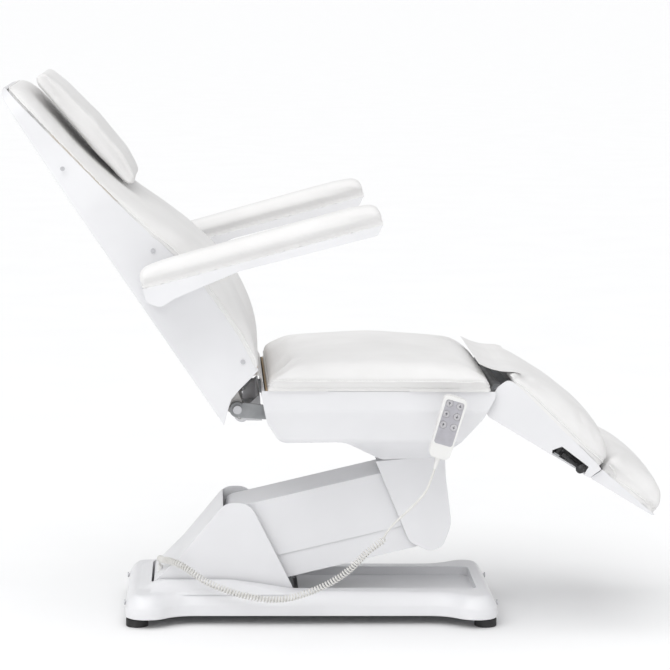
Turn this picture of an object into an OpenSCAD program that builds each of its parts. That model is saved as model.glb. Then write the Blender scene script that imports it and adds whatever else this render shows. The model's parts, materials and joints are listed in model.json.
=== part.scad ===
// Three-motor treatment bed, in millimetres. +X towards the foot end, +Z up, near side (handset) at -Y.
// The origin is on the floor, under the middle of the bed's length.

/* [Base] */
// Length of the base covers
base_len = 834; // [760:2:950]
// Width of the base over its end pods
base_pod_w = 430; // [400:2:520]
// Width of the base between the pods
base_waist_w = 344; // [330:2:390]
// Height of the covers' lower edge above the floor
base_gap = 20; // [16:1:26]
// Height of the base rim above the floor
base_rim_z = 72; // [66:1:90]
// Rise of the head cover's collar round the tower above the rim
collar_rise = 20; // [10:1:30]
// Place of the base's middle along the bed
base_x = -45; // [-60:1:-30]
// Place of the seam between the two base covers
base_seam_x = -71; // [-76:1:-66]
// Radius of a levelling foot
foot_r = 25; // [18:1:30]
// Wall of every plastic cover
cover_wall = 4; // [2.5:0.5:5]

/* [Lift] */
// Place of the tower's arm pivots along the bed
tower_x = -210; // [-216:1:-204]
// Height of the lower tower pivot
tower_z = 94; // [90:1:100]
// Height of the upper pivots above the lower ones
arm_gap = 130; // [120:1:140]
// Length of the lift arms between their pivots
arm_len = 450; // [370:1:545]
// Slope of the arms with the bed at its lowest
arm_slope = 13.6; // [11:0.2:16]
// Radius of the arms' pivot pins
pin_r = 10; // [8:0.5:12]
// Radial running clearance of every pin in its bores
pin_fit = 0.06; // [0.03:0.01:0.1]
// Half width of the tower cover
tower_half_w = 107; // [104:1:112]
// Half width of the upper arm cover
arm_half_w = 88; // [86:1:92]
// Half width of the yoke cover
yoke_half_w = 100; // [96:1:108]
// Radius of the actuators' pins
drive_pin_r = 8; // [6:0.5:10]
// Radius of the actuators' motor bodies
drive_r = 24; // [18:1:26]
// Radius of the actuators' rods
drive_rod_r = 10; // [8:0.5:12]

/* [Seat] */
// Length of the seat cushion
seat_len = 500; // [420:2:560]
// Width of the seat cushion
seat_w = 600; // [560:2:720]
// Height of the seat cushion's underside above the yoke's lower pivot
seat_rise = 345; // [340:1:352]
// Distance of the seat cushion's rear edge behind the yoke pivots
seat_behind = 384; // [380:1:400]
// Thickness of the seat cushion at its crown
seat_thick = 80; // [70:1:100]
// Thickness of the plywood boards under the cushions
board_t = 15; // [10:1:18]
// How far the seat cover stands in from the cushion's side
cover_inset = 28; // [20:1:36]

/* [Back] */
// Slope of the backrest above the horizontal
back_slope = 55.5; // [50:0.5:60]
// Width of the back cushion
back_w = 580; // [540:2:700]
// Width of the back cushion at its top
back_top_w = 460; // [400:2:560]
// Length of the backrest above its pivot
back_len = 870; // [820:2:1040]
// Width of the head pillow
pillow_w = 300; // [240:2:380]

/* [Armrests] */
// Gap between the back cushion's side and an armrest pad
armrest_gap = 38; // [28:1:60]
// Width of an armrest pad
armrest_w = 84; // [60:1:90]
// Length of an armrest pad
armrest_len = 532; // [440:2:620]
// Slope of the armrests
armrest_slope = 15.4; // [8:0.2:20]

/* [Leg rest] */
// Slope of the leg rest below the horizontal
leg_slope = 31; // [26:1:36]
// Width of the leg cushion
leg_w = 520; // [480:2:530]
// Length of the leg rest's shell
leg_len = 282; // [270:1:330]
// Width of the foot extension
foot_w = 500; // [420:2:520]
// Length of the foot extension
foot_len = 168; // [140:1:200]
// Travel of the foot extension
foot_travel = 150; // [100:5:160]
// Gap between the leg rest's and the foot extension's ends
foot_gap = 3; // [2:0.5:6]

/* [Handset] */
// Width of the handset
handset_w = 52; // [44:1:60]
// Length of the handset
handset_len = 138; // [126:1:160]
// Thickness of the handset
handset_t = 24; // [18:1:30]
// Lean of the handset towards the foot end
handset_lean = 16; // [0:1:20]
// Radius of a handset button
button_r = 7.5; // [5:0.5:9]
// Height of a button above the handset's face
button_h = 1.6; // [1:0.1:2.5]
// Diameter of the straight part of the cord
cord_d = 5; // [4:0.5:7]
// Outer diameter of the curled part of the cord
curl_d = 16; // [12:1:20]

/* [Hidden] */
$fn = 48;
far = 2000;   // reach of a cutting block
cut = 1;      // overshoot of a cut past the face it opens

// ---- outlines -------------------------------------------------------------------------------

function unit(v) = v / norm(v);
function xy(p) = [p[0], p[1]];

// Points of the arc that rounds corner q between its neighbours p and s; q[2] is the radius
function corner(p, q, s) =
    let (a = unit(xy(p) - xy(q)), b = unit(xy(s) - xy(q)), r = len(q) > 2 ? q[2] : 0)
    r <= 0 ? [xy(q)] :
    let (half = acos(a * b) / 2,
         middle = xy(q) + unit(a + b) * r / sin(half),
         from = xy(q) + a * r / tan(half) - middle,
         to = xy(q) + b * r / tan(half) - middle,
         start = atan2(from[1], from[0]),
         sweep = ((atan2(to[1], to[0]) - start + 540) % 360) - 180,
         steps = max(2, ceil(abs(sweep) / 15)))
    [for (i = [0:steps]) middle + r * [cos(start + sweep * i / steps), sin(start + sweep * i / steps)]];

// An outline with its corners rounded
function rounded(pts) = let (n = len(pts))
    [for (i = [0:n - 1]) each corner(pts[(i + n - 1) % n], pts[i], pts[(i + 1) % n])];

// An anticlockwise outline moved inwards by w
function inset(pts, w) = let (n = len(pts))
    [for (i = [0:n - 1])
        let (q = pts[i],
             d1 = unit(xy(q) - xy(pts[(i + n - 1) % n])),
             d2 = unit(xy(pts[(i + 1) % n]) - xy(q)),
             n1 = [-d1[1], d1[0]], n2 = [-d2[1], d2[0]],
             at = xy(q) + (n1 + n2) * w / (1 + n1 * n2),
             outer = d1[0] * d2[1] - d1[1] * d2[0] > 0,
             r = len(q) > 2 ? q[2] : 0)
        [at[0], at[1], r <= 0 ? 0 : outer ? max(0, r - w) : r + w]];

// A side outline (x, z) drawn out across the bed to width w about y
module slab(pts, w, y = 0) {
    translate([0, y, 0]) rotate([90, 0, 0]) linear_extrude(height = w, center = true) polygon(pts);
}

// A pair of slabs, one on each side, from y0 to y1
module slab_pair(pts, y0, y1) {
    for (side = [-1, 1]) slab(pts, y1 - y0, side * (y0 + y1) / 2);
}

// A round bar across the bed at p
module bar(p, r, w, y = 0) {
    translate([p[0], y, p[1]]) rotate([90, 0, 0]) cylinder(r = r, h = w, center = true);
}

// A plan outline (x, y) from height z0 to z1
module plan(pts, z0, z1) {
    translate([0, 0, z0]) linear_extrude(height = z1 - z0) polygon(pts);
}

module block(x0, x1, y0, y1, z0, z1) {
    translate([x0, y0, z0]) cube([x1 - x0, y1 - y0, z1 - z0]);
}

// The same block on both sides of the bed
module block_pair(x0, x1, y0, y1, z0, z1) {
    block(x0, x1, y0, y1, z0, z1);
    block(x0, x1, -y1, -y0, z0, z1);
}

// ---- frames of the moving parts ---------------------------------------------------------------

function along(o, slope, p) = o + [p[0] * cos(slope) - p[1] * sin(slope), p[0] * sin(slope) + p[1] * cos(slope)];
function placed(o, slope, pts) = [for (p = pts) along(o, slope, p)];

// Moves children drawn along +X with +Z up to place o and slope
module on(o, slope) {
    translate([o[0], 0, o[1]]) rotate([0, -slope, 0]) children();
}

tower_low = [tower_x, tower_z];
tower_high = [tower_x, tower_z + arm_gap];
yoke_low = along(tower_low, arm_slope, [arm_len, 0]);
yoke_high = yoke_low + [0, arm_gap];

seat_x0 = yoke_low[0] - seat_behind;
seat_x1 = seat_x0 + seat_len;
seat_z = yoke_low[1] + seat_rise;
board_z = seat_z - board_t;

back_pivot = [seat_x0 - 58, seat_z - 53];
// u runs up the backrest and v stands out of its front
back_turn = 180 - back_slope;
function back_pt(p) = along(back_pivot, back_turn, [p[0], -p[1]]);
function back_pts(pts) = [for (p = pts) back_pt(p)];

leg_pivot = [seat_x1 + 18, seat_z - 10];
function leg_pt(p) = along(leg_pivot, -leg_slope, p);
function leg_pts(pts) = [for (p = pts) leg_pt(p)];

// ---- base -----------------------------------------------------------------------------------

base_half = base_len / 2;
pod_half = base_pod_w / 2;
waist_half = base_waist_w / 2;
pod_corner = 45;
pod_length = 72;      // of a pod's full width
waist_start = 117;    // from the base's end
foot_x = base_half - 27;
foot_y = pod_half - 40;
frame_z0 = base_gap + 2;
frame_z1 = frame_z0 + 24;
floor_z = frame_z1 + 6;         // the recess floor between the rims
rim_inner = 115;                // half width of the recess
opening_x0 = tower_x - 195;     // where the tower's opening starts
recess_x1 = base_x + base_half - 42;
plate_t = 5;
plate_out = 79;                 // outer face of the tower and yoke plates
bar_out = 72;                   // outer face of the arm bars
bar_t = 14;
lift_foot = [tower_x + 105, tower_z - 14];   // the lift actuator's pin in the base
ear_t = 8;

function base_side(s) = [
    [-base_half, -pod_half * s, pod_corner], [-base_half + pod_length, -pod_half * s, 40],
    [-base_half + waist_start, -waist_half * s, 60], [base_half - waist_start, -waist_half * s, 60],
    [base_half - pod_length, -pod_half * s, 40], [base_half, -pod_half * s, pod_corner]];
function reversed(v) = [for (i = [len(v) - 1:-1:0]) v[i]];
base_outline = [for (p = concat(base_side(1), reversed(base_side(-1)))) [p[0] + base_x, p[1], p[2]]];

module base_shell() {
    difference() {
        plan(rounded(base_outline), base_gap, base_rim_z);
        difference() {
            plan(rounded(inset(base_outline, cover_wall)), base_gap - cut, base_rim_z - cover_wall);
            block(opening_x0 - cover_wall, recess_x1 + cover_wall, -rim_inner - cover_wall,
                rim_inner + cover_wall, floor_z - 3, base_rim_z);
        }
        block(opening_x0, recess_x1, -rim_inner, rim_inner, floor_z, base_rim_z + cut);
        block(opening_x0, base_seam_x, -rim_inner, rim_inner, frame_z1 - cut, base_rim_z);
        for (side = [-1, 1]) for (end = [-1, 1])
            translate([base_x + end * base_half, side * screw_y, screw_z]) rotate([0, 90, 0])
                cylinder(r = screw_r + 0.2, h = 40, center = true);
    }
}

// The head cover rises round the tower's foot; the collar's outline at the rim and at its top
collar_low = [[base_x - base_half + 22, -waist_half + 10, 30], [base_seam_x - 6, -waist_half + 10, 30],
    [base_seam_x - 6, waist_half - 10, 30], [base_x - base_half + 22, waist_half - 10, 30]];
collar_high = [[tower_x - 176, -rim_inner - 9, 8], [tower_x - 20, -rim_inner - 9, 8],
    [tower_x - 20, rim_inner + 9, 8], [tower_x - 176, rim_inner + 9, 8]];

module collar_solid(wall) {
    top = base_rim_z + collar_rise - wall;
    hull() {
        plan(rounded(inset(collar_low, wall)), base_rim_z - 2, base_rim_z - 1);
        plan(rounded(inset(collar_high, wall)), top - 1, top);
    }
}

module base_collar() {
    difference() {
        collar_solid(0);
        difference() {
            collar_solid(cover_wall);
            block(-far, far, -far, far, 0, base_rim_z);
        }
        block(opening_x0, far, -rim_inner, rim_inner, 0, far);
    }
}

module base_cover_head() {
    color("white") union() {
        intersection() {
            base_shell();
            block(-far, base_seam_x - 0.3, -far, far, 0, far);
        }
        base_collar();
    }
}

module base_cover_foot() {
    color("white") intersection() {
        base_shell();
        block(base_seam_x + 0.3, far, -far, far, 0, far);
    }
}

module base_frame() {
    beam_y0 = 105;
    beam_y1 = 155;
    end_x = base_half - 10;
    plate = rounded([
        [tower_x - 140, frame_z1 - cut], [tower_x + 36, frame_z1 - cut], [tower_x + 22, tower_z],
        [tower_x + 22, tower_high[1]], [tower_x - 22, tower_high[1]], [tower_x - 22, tower_z + 76, 20],
        [tower_x - 140, frame_z1 + 14]]);
    ear = rounded([[lift_foot[0] - 20, frame_z1 - cut], [lift_foot[0] + 20, frame_z1 - cut],
        [lift_foot[0] + 16, lift_foot[1] + 16, 14], [lift_foot[0] - 16, lift_foot[1] + 16, 14]]);
    color("dimgray") difference() {
        union() {
            block_pair(base_x - end_x, base_x + end_x, beam_y0, beam_y1, frame_z0, frame_z1);
            for (end = [-1, 1])
                translate([base_x + end * (end_x - 21), 0, frame_z0 + 12])
                    cube([42, 2 * foot_y + 20, 24], center = true);
            block(opening_x0 + 10, lift_foot[0] + 26, -beam_y1, beam_y1, frame_z1 - 6, frame_z1);
            slab_pair(plate, plate_out - plate_t, plate_out);
            for (z = [tower_z, tower_high[1]]) for (side = [-1, 1])
                bar([tower_x, z], 22, plate_t, side * (plate_out - plate_t / 2));
            slab_pair(ear, 36, 36 + ear_t);
        }
        for (p = [tower_low, tower_high]) bar(p, pin_r + pin_fit, far);
        bar(lift_foot, drive_pin_r + pin_fit, far);
    }
}

// The head face of the tower cover, from its foot past its bend
tower_foot = [tower_x - 190, frame_z1 + 38];
tower_bend = [tower_x - 124, frame_z1 + 104];
tower_lean = (tower_bend[1] - tower_foot[1]) / (tower_bend[0] - tower_foot[0]);

module tower_cover() {
    top = tower_high[1] + 41;
    inner_half = tower_half_w - cover_wall;
    outer = [[tower_foot[0], frame_z1], [tower_x + 136, frame_z1], [tower_x + 114, frame_z1 + 46, 20],
        [tower_x + 26, top, 40], [tower_x - 30, top, 40], [tower_bend[0], tower_bend[1], 200],
        [tower_foot[0], tower_foot[1], 8]];
    color("white") difference() {
        slab(rounded(outer), 2 * tower_half_w);
        slab(rounded(inset(outer, cover_wall)), 2 * inner_half);
        block(tower_foot[0] + cover_wall, far, -inner_half, inner_half, frame_z1 - cut, frame_z1 + 2 * cover_wall);
        block(tower_x - 34, far, -inner_half, inner_half, frame_z1 - cut, far);
        translate([gland_p[0], gland_p[1], tower_z]) cylinder(r = gland_r, h = arm_gap, center = true);
    }
}

module levelling_feet() {
    color([0.05, 0.05, 0.05]) for (end = [-1, 1]) for (side = [-1, 1])
        translate([base_x + end * foot_x, side * foot_y, 0]) {
            cylinder(r = foot_r, h = frame_z0 - 4);
            cylinder(r = foot_r / 3, h = frame_z0);
        }
}

screw_r = 3;
screw_y = pod_half - 72;
screw_z = base_gap + 26;

module base_screws() {
    color("silver") for (end = [-1, 1]) for (side = [-1, 1])
        translate([base_x + end * base_half, side * screw_y, screw_z]) rotate([0, end * 90, 0]) {
            cylinder(r = 2 * screw_r, h = screw_r);
            translate([0, 0, -6]) cylinder(r = screw_r, h = 6 + cut);
        }
}

module control_box() {
    color("black") block(tower_x - 136, tower_x - 66, -50, 50, frame_z1, frame_z1 + 52);
}

// The cord's gland stands in the head face of the tower cover
gland_r = 6;
gland_p = [tower_x - 176, -45];
gland_foot = tower_foot[1] + (gland_p[0] - tower_foot[0]) * tower_lean;
gland_top = gland_foot + 12;

module cord_gland() {
    color("ivory") translate([gland_p[0], gland_p[1], gland_foot - 14]) difference() {
        cylinder(r = gland_r, h = gland_top - gland_foot + 14);
        translate([0, 0, gland_top - gland_foot + 10]) cylinder(r = cord_d / 2, h = 4 + cut);
    }
}

module base_pivot_pins() {
    color("silver") {
        for (p = [tower_low, tower_high]) bar(p, pin_r, 2 * plate_out + 1);
        bar(lift_foot, drive_pin_r, 2 * (36 + ear_t) + 2);
    }
}

// ---- lift arms --------------------------------------------------------------------------------

bar_half_h = 20;
arm_open = 46;        // top of the lower cover above the lower arms
arm_belly = -30;      // underside of the lower cover
cover_low = -102;     // lower edge of the upper cover below the upper arms
cover_high = 29;      // its top
arm_wall = 3;
slot_half = 50;       // half width of the actuator's slot

// Two bars with a cross tube, between pivots a and b
module arm_pair(a, cover_y) {
    on(a, arm_slope) difference() {
        union() {
            block_pair(0, arm_len, bar_out - bar_t, bar_out, -bar_half_h, bar_half_h);
            for (x = [0, arm_len]) for (side = [-1, 1])
                bar([x, 0], bar_half_h, bar_t, side * (bar_out - bar_t / 2));
            bar([60, 0], 12, 2 * bar_out - bar_t);
            for (x = [110, arm_len - 85]) for (side = [-1, 1])
                bar([x, 0], 6, cover_y - bar_out + cut, side * (bar_out + cover_y - cut) / 2);
        }
        for (x = [0, arm_len]) bar([x, 0], pin_r + pin_fit, far);
    }
}

module lower_arms() { color("dimgray") arm_pair(tower_low, arm_half_w - 2 * arm_wall - 1); }
module upper_arms() { color("dimgray") arm_pair(tower_high, arm_half_w - arm_wall); }

module arm_lower_cover() {
    half = arm_half_w - arm_wall - 1;
    a0 = 45;
    a1 = arm_len - 36;
    color("white") on(tower_low, arm_slope) difference() {
        slab(rounded([[a0, arm_belly, 8], [a1, arm_belly, 8], [a1, arm_open], [a0, arm_open]]), 2 * half);
        slab([[a0 - cut, arm_belly + arm_wall], [a1 + cut, arm_belly + arm_wall],
            [a1 + cut, arm_open + cut], [a0 - cut, arm_open + cut]], 2 * (half - arm_wall));
        block(a0 - cut, 310, -slot_half, slot_half, arm_belly - cut, arm_belly + arm_wall + cut);
    }
}

module arm_cover() {
    a0 = -32;
    a1 = arm_len - 25;
    rear_edge = 9;
    color("white") on(tower_high, arm_slope) difference() {
        slab(rounded([[a0, cover_low, 6], [a1 - 45, cover_low, 10], [a1, cover_low + 40, 10],
            [a1, cover_high, 10], [a0, cover_high, 30]]), 2 * arm_half_w);
        slab(rounded([[a0 + arm_wall, cover_low - cut], [a1 + cut, cover_low - cut],
            [a1 + cut, cover_high - arm_wall], [a0 + arm_wall, cover_high - arm_wall, 27]]),
            2 * (arm_half_w - arm_wall));
        // the rear is open below the pivots' top, so that the arms can rise past the tower plates
        slab([[a0 - cut, cover_low - cut], [0, cover_low - cut], [0, rear_edge], [a0 - cut, rear_edge]],
            2 * (arm_half_w - arm_wall));
    }
}

// ---- linear actuators: motor body from pin a, rod with its eye at pin b ---------------------------

module drive_body(a, slope, y, long) {
    color("dimgray") translate([0, y, 0]) on(a, slope) difference() {
        union() {
            bar([0, 0], drive_pin_r + 6, 26);
            rotate([0, 90, 0]) cylinder(r = 9, h = 40);
            translate([34, 0, 0]) rotate([0, 90, 0]) cylinder(r = drive_r, h = 90);
            translate([34, 0, 0]) rotate([0, 90, 0]) cylinder(r = drive_rod_r + 5, h = long - 34);
        }
        bar([0, 0], drive_pin_r + pin_fit, far);
        translate([long - 170, 0, 0]) rotate([0, 90, 0]) cylinder(r = drive_rod_r + 0.4, h = 171);
    }
}

module drive_rod(a, slope, y, from, to, pin, play) {
    color("silver") translate([0, y, 0]) on(a, slope) difference() {
        union() {
            translate([from, 0, 0]) rotate([0, 90, 0]) cylinder(r = drive_rod_r, h = to - from - pin - 3);
            bar([to, 0], pin + play + 5, 20);
        }
        bar([to, 0], pin + play, far);
    }
}

function slope_of(v) = atan2(v[1], v[0]);

lift_span = yoke_high - lift_foot;
lift_play = 5.6;
module lift_actuator_body() { drive_body(lift_foot, slope_of(lift_span), 0, norm(lift_span) - 60); }
module lift_actuator_rod() {
    drive_rod(lift_foot, slope_of(lift_span), 0, norm(lift_span) - 200, norm(lift_span), pin_r, lift_play);
}

back_drive_y = 52;
back_anchor = [yoke_low[0] - 117, seat_z - 55];
back_horn = back_pivot + 50 * [cos(-75), sin(-75)];
back_span = back_horn - back_anchor;
back_play = 5;
module back_actuator_body() {
    drive_body(back_anchor, slope_of(back_span), back_drive_y, norm(back_span) - 62);
}
module back_actuator_rod() {
    drive_rod(back_anchor, slope_of(back_span), back_drive_y, norm(back_span) - 150, norm(back_span),
        drive_pin_r, back_play);
}

leg_drive_y = -52;
leg_anchor = [seat_x0 + 97, seat_z - 55];
leg_horn = leg_pivot + 40 * [cos(-83), sin(-83)];
leg_span = leg_horn - leg_anchor;
leg_play = 8.6;
module leg_actuator_body() {
    drive_body(leg_anchor, slope_of(leg_span), leg_drive_y, norm(leg_span) - 90);
}
module leg_actuator_rod() {
    drive_rod(leg_anchor, slope_of(leg_span), leg_drive_y, norm(leg_span) - 220, norm(leg_span),
        drive_pin_r, leg_play);
}

// ---- seat -------------------------------------------------------------------------------------

rail_y0 = 175;
rail_y1 = 205;
rail_z0 = seat_z - 75;
rail_z1 = seat_z - 45;
hinge_y0 = 190;     // the seat's hinge ears
hinge_t = 8;
hinge_r = 17;
torque_y = 186;     // outer face of the moving frames' side plates
cover_half = seat_w / 2 - cover_inset;

module seat_frame() {
    plate = [[yoke_low[0] - 22, yoke_low[1]], [yoke_low[0] + 22, yoke_low[1]],
        [yoke_low[0] + 22, rail_z0], [yoke_low[0] - 97, rail_z0], [yoke_low[0] - 97, rail_z0 - 20],
        [yoke_low[0] - 22, yoke_high[1] + 52]];
    back_ear = rounded([[seat_x0 + 20, rail_z0], [seat_x0 + 20, rail_z1],
        [back_pivot[0] + 12, back_pivot[1] + 16, 0], [back_pivot[0], back_pivot[1] - hinge_r, 0]]);
    leg_ear = [[seat_x1 - 40, rail_z0], [seat_x1 - 22, rail_z0 + 4], [leg_pivot[0] + 13, leg_pivot[1] - 11],
        [leg_pivot[0] - 8, leg_pivot[1] + 15], [seat_x1 - 40, rail_z1]];
    color("dimgray") difference() {
        union() {
            block_pair(seat_x0 + 6, seat_x1 - 30, rail_y0, rail_y1, rail_z0, rail_z1);
            block(yoke_low[0] - 97, yoke_low[0] + 35, -rail_y1, rail_y1, rail_z0 - 24, rail_z0);
            slab_pair(plate, plate_out - plate_t, plate_out);
            for (p = [yoke_low, yoke_high]) for (side = [-1, 1])
                bar(p, 22, plate_t, side * (plate_out - plate_t / 2));
            for (x = [seat_x0 + 36, seat_x0 + 240, seat_x1 - 70])
                block_pair(x, x + 30, rail_y0, rail_y1, rail_z1 - cut, board_z);
            block(leg_anchor[0] - 15, leg_anchor[0] + 15, -rail_y1, rail_y1, rail_z1 + 5, rail_z1 + 17);
            block_pair(leg_anchor[0] - 15, leg_anchor[0] + 15, rail_y0, rail_y1, rail_z1 - cut, rail_z1 + 6);
            for (s = [-1, 1]) {
                slab(rounded([[leg_anchor[0] - 15, rail_z1 + 6], [leg_anchor[0] - 15, leg_anchor[1] - 14, 12],
                    [leg_anchor[0] + 15, leg_anchor[1] - 14, 12], [leg_anchor[0] + 15, rail_z1 + 6]]), 6,
                    leg_drive_y + s * 18);
                slab(rounded([[back_anchor[0] - 14, rail_z0 - 20], [back_anchor[0] + 30, rail_z0 - 20],
                    [back_anchor[0] + 14, back_anchor[1] + 14, 12], [back_anchor[0] - 14, back_anchor[1] + 14, 12]]),
                    6, back_drive_y + s * 18);
            }
            slab_pair(back_ear, hinge_y0, hinge_y0 + hinge_t);
            slab_pair(leg_ear, hinge_y0, hinge_y0 + hinge_t);
            for (p = [back_pivot, leg_pivot]) for (side = [-1, 1])
                bar(p, hinge_r, hinge_t, side * (hinge_y0 + hinge_t / 2));
        }
        for (p = [yoke_low, yoke_high]) bar(p, pin_r + pin_fit, far);
        for (p = [back_pivot, leg_pivot]) bar(p, pin_r + pin_fit, far);
        bar(back_anchor, drive_pin_r + pin_fit, 60, back_drive_y);
        bar(leg_anchor, drive_pin_r + pin_fit, 60, leg_drive_y);
    }
}

module seat_pivot_pins() {
    color("silver") {
        for (p = [yoke_low, yoke_high]) bar(p, pin_r, 2 * plate_out + 1);
        for (p = [back_pivot, leg_pivot]) for (side = [-1, 1])
            bar(p, pin_r, 34, side * (torque_y - 2));
        bar(back_anchor, drive_pin_r, 46, back_drive_y);
        bar(leg_anchor, drive_pin_r, 46, leg_drive_y);
    }
}

yoke_top = yoke_high[1] + 36;

module yoke_cover() {
    x = yoke_low[0];
    z = yoke_low[1];
    right = [[x + 26, z - 35, 24], [x + 45, z + 16, 60], [x + 30, z + 125, 60], [x + 27, yoke_top + 9]];
    outer = concat([[x - 129, yoke_top - 6], [x - 50, z - 25, 30], [x - 4, z - 47, 30]], right);
    inner = [[x - 2, z - 100], [x - 2, z - 42], [x + 22, z - 31, 20], [x + 41, z + 17, 56],
        [x + 26, z + 125, 64], [x + 23, yoke_top + 20], [x - far, yoke_top + 20], [x - far, z - 100]];
    color("white") difference() {
        slab(rounded(outer), 2 * yoke_half_w);
        slab(rounded(inner), 2 * (yoke_half_w - cover_wall));
    }
}

// Side outline of the seat cover, anticlockwise from its upper rear corner
function seat_side() = let (x = yoke_low[0]) [
    [seat_x0 - 6, seat_z], [seat_x0 - 6, seat_z - 13, 0], [seat_x0 + 6, seat_z - 72, 30],
    [seat_x0 + 36, seat_z - 122, 30], [seat_x0 + 178, seat_z - 118, 60], [x - 116, yoke_top, 30],
    [x - 6, yoke_top + 9, 20], [x + 36, yoke_top + 42, 40], [seat_x1 - 20, seat_z - 62, 60],
    [seat_x1 + 5, seat_z - 14, 0], [seat_x1 + 5, seat_z]];
seat_front = [[-cover_half, seat_z], [-cover_half, seat_z - 45, 30], [-cover_half + 34, seat_z - 118, 30],
    [-yoke_half_w - 14, yoke_top], [yoke_half_w + 14, yoke_top], [cover_half - 34, seat_z - 118, 30],
    [cover_half, seat_z - 45, 30], [cover_half, seat_z]];

// A front outline (y, z) drawn out along the bed
module lengthwise(pts) {
    rotate([90, 0, 90]) linear_extrude(height = far, center = true) polygon(pts);
}

module seat_cover() {
    lip = seat_z - 93;
    color("white") difference() {
        intersection() {
            slab(rounded(seat_side()), far);
            lengthwise(rounded(seat_front));
        }
        difference() {
            intersection() {
                union() {
                    slab(rounded(inset(seat_side(), cover_wall)), far);
                    block(seat_x0, seat_x1 - 20, -far, far, seat_z - 40, seat_z + cut);
                    block(seat_x1 - 50, far, -far, far, lip, seat_z + cut);
                }
                union() {
                    lengthwise(rounded(inset(seat_front, cover_wall)));
                    block(-far, far, -cover_half + cover_wall, cover_half - cover_wall, seat_z - 40,
                        seat_z + cut);
                }
            }
        }
        // the yoke comes up through the bottom
        block(yoke_low[0] - 101, yoke_low[0] + 26, -yoke_half_w + cover_wall, yoke_half_w - cover_wall,
            yoke_top - far, rail_z0 - 24);
        // the back actuator leaves at the rear
        block(seat_x0 - 30, seat_x0 + 60, back_drive_y - 32, back_drive_y + 32, seat_z - 110, seat_z - 45);
        // the hinge ears leave at the rear and the rails end there
        block_pair(seat_x0 - 30, seat_x0 + 20, hinge_y0 - 20, rail_y1 + 4, rail_z0 - 4, rail_z1 + 4);
    }
}

module seat_tail_cover() {
    low = seat_z - 85;
    half = 150;
    side = [[back_pivot[0] + 5, low], [seat_x0 - 2, low], [seat_x0 - 8, seat_z - 25],
        [seat_x0 - 30, seat_z - 45]];
    color("white") difference() {
        slab(side, 2 * half);
        slab([[back_pivot[0] - 50, low + 3], [seat_x0 - 11, low + 3], [seat_x0 - 11, seat_z],
            [back_pivot[0] - 50, seat_z]], 2 * (half - 3));
        bar(back_pivot, 17, far);
        block(back_pivot[0], seat_x0 + 10, back_drive_y - 28, back_drive_y + 28, low - cut, seat_z - 42);
    }
}

module seat_board() {
    color("burlywood") block(seat_x0 + 3, seat_x1 - 42, -cover_half + cover_wall + 1, cover_half - cover_wall - 1,
        board_z, seat_z);
}

module seat_cushion() {
    top = seat_z + seat_thick;
    color("white") slab(rounded([[seat_x0, seat_z, 3], [seat_x1, seat_z, 3], [seat_x1, top - 44, 30],
        [seat_x1 - 45, top - 18, 60], [seat_x0 + 250, top, 400], [seat_x0 + 60, top - 16, 60],
        [seat_x0, top - 40, 20]]), seat_w);
}

handset_y = -seat_w / 2 - 35;                  // middle of the handset's thickness
handset_o = [yoke_low[0] + 11, seat_z - 68];   // middle of the handset
function handset_pt(w, h) = along(handset_o, 90 - handset_lean, [h, -w]);
tongue_y = handset_y + handset_t / 2 + 5.5;
hook_top = handset_len / 2 - 1;
tongue_h0 = hook_top - 33;
tongue_half = 14;

// A box in the handset's frame: w0..w1 across, h0..h1 along it, y0..y1 in depth
module handset_box(w0, w1, h0, h1, y0, y1) {
    slab([for (p = [[w0, h0], [w1, h0], [w1, h1], [w0, h1]]) handset_pt(p[0], p[1])], y1 - y0, (y0 + y1) / 2);
}

module handset_holder() {
    color("white") {
        handset_box(-tongue_half, tongue_half, tongue_h0, hook_top - 4.4, tongue_y - 2, tongue_y + 2);
        handset_box(-tongue_half, tongue_half, tongue_h0, tongue_h0 + 6, tongue_y, -cover_half);
    }
}

module leg_flap() {
    color("white") slab([[seat_x1 - 26, seat_z + 55], [seat_x1 - 12, seat_z + 48.5], [seat_x1 + 2, seat_z + 41],
        [seat_x1 + 3, seat_z + 43.5], [seat_x1 - 11, seat_z + 51.5], [seat_x1 - 26, seat_z + 58]], 460);
}

// ---- back -------------------------------------------------------------------------------------

// Where the cushion meets the shell, from the lower end to the top
seam = [[58, 94], [143, 103], [273, 102], [384, 85], [437, 67], [490, 55], [550, 43], [647, 24],
    [732, 7], [back_len - 14, -18]];
function lowered(pts, d) = [for (p = pts) [p[0], p[1] - d]];
back_rear = -36;
shell_side = cover_wall;
shell_half = back_w / 2 - 6;

// Plan of the backrest, narrower at its rounded top
module back_plan(half, top_half, grow = 0) {
    bend = 560;
    corner_r = 90;
    on(back_pivot, back_turn) linear_extrude(height = far, center = true)
        polygon(rounded([[-100, -half], [bend, -half, 200], [back_len + grow, -top_half, corner_r],
            [back_len + grow, top_half, corner_r], [bend, half, 200], [-100, half]]));
}

module back_shell() {
    outer = concat([[0, back_rear], [20, -14], [38, 9], [46, 37], [53, 73]], seam,
        [[back_len - 3, -21], [back_len, -26], [back_len - 6, -32], [back_len - 20, back_rear]]);
    inner = concat([[-60, back_rear + cover_wall], [-60, 200]], [for (p = seam) [p[0], p[1] + 200]],
        [[back_len - 12, 182], [back_len - 8, -24], [back_len - 14, -29], [back_len - 26, back_rear + cover_wall]]);
    color("white") difference() {
        intersection() {
            slab(back_pts(outer), 2 * shell_half);
            back_plan(shell_half, back_top_w / 2 - 6);
        }
        intersection() {
            slab(back_pts(inner), 2 * (shell_half - cover_wall));
            back_plan(shell_half - cover_wall, back_top_w / 2 - 6 - cover_wall, -cover_wall);
        }
        for (side = [-1, 1]) bar(armrest_pivot, pin_r + 0.3, 60, side * shell_half);
    }
}

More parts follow.
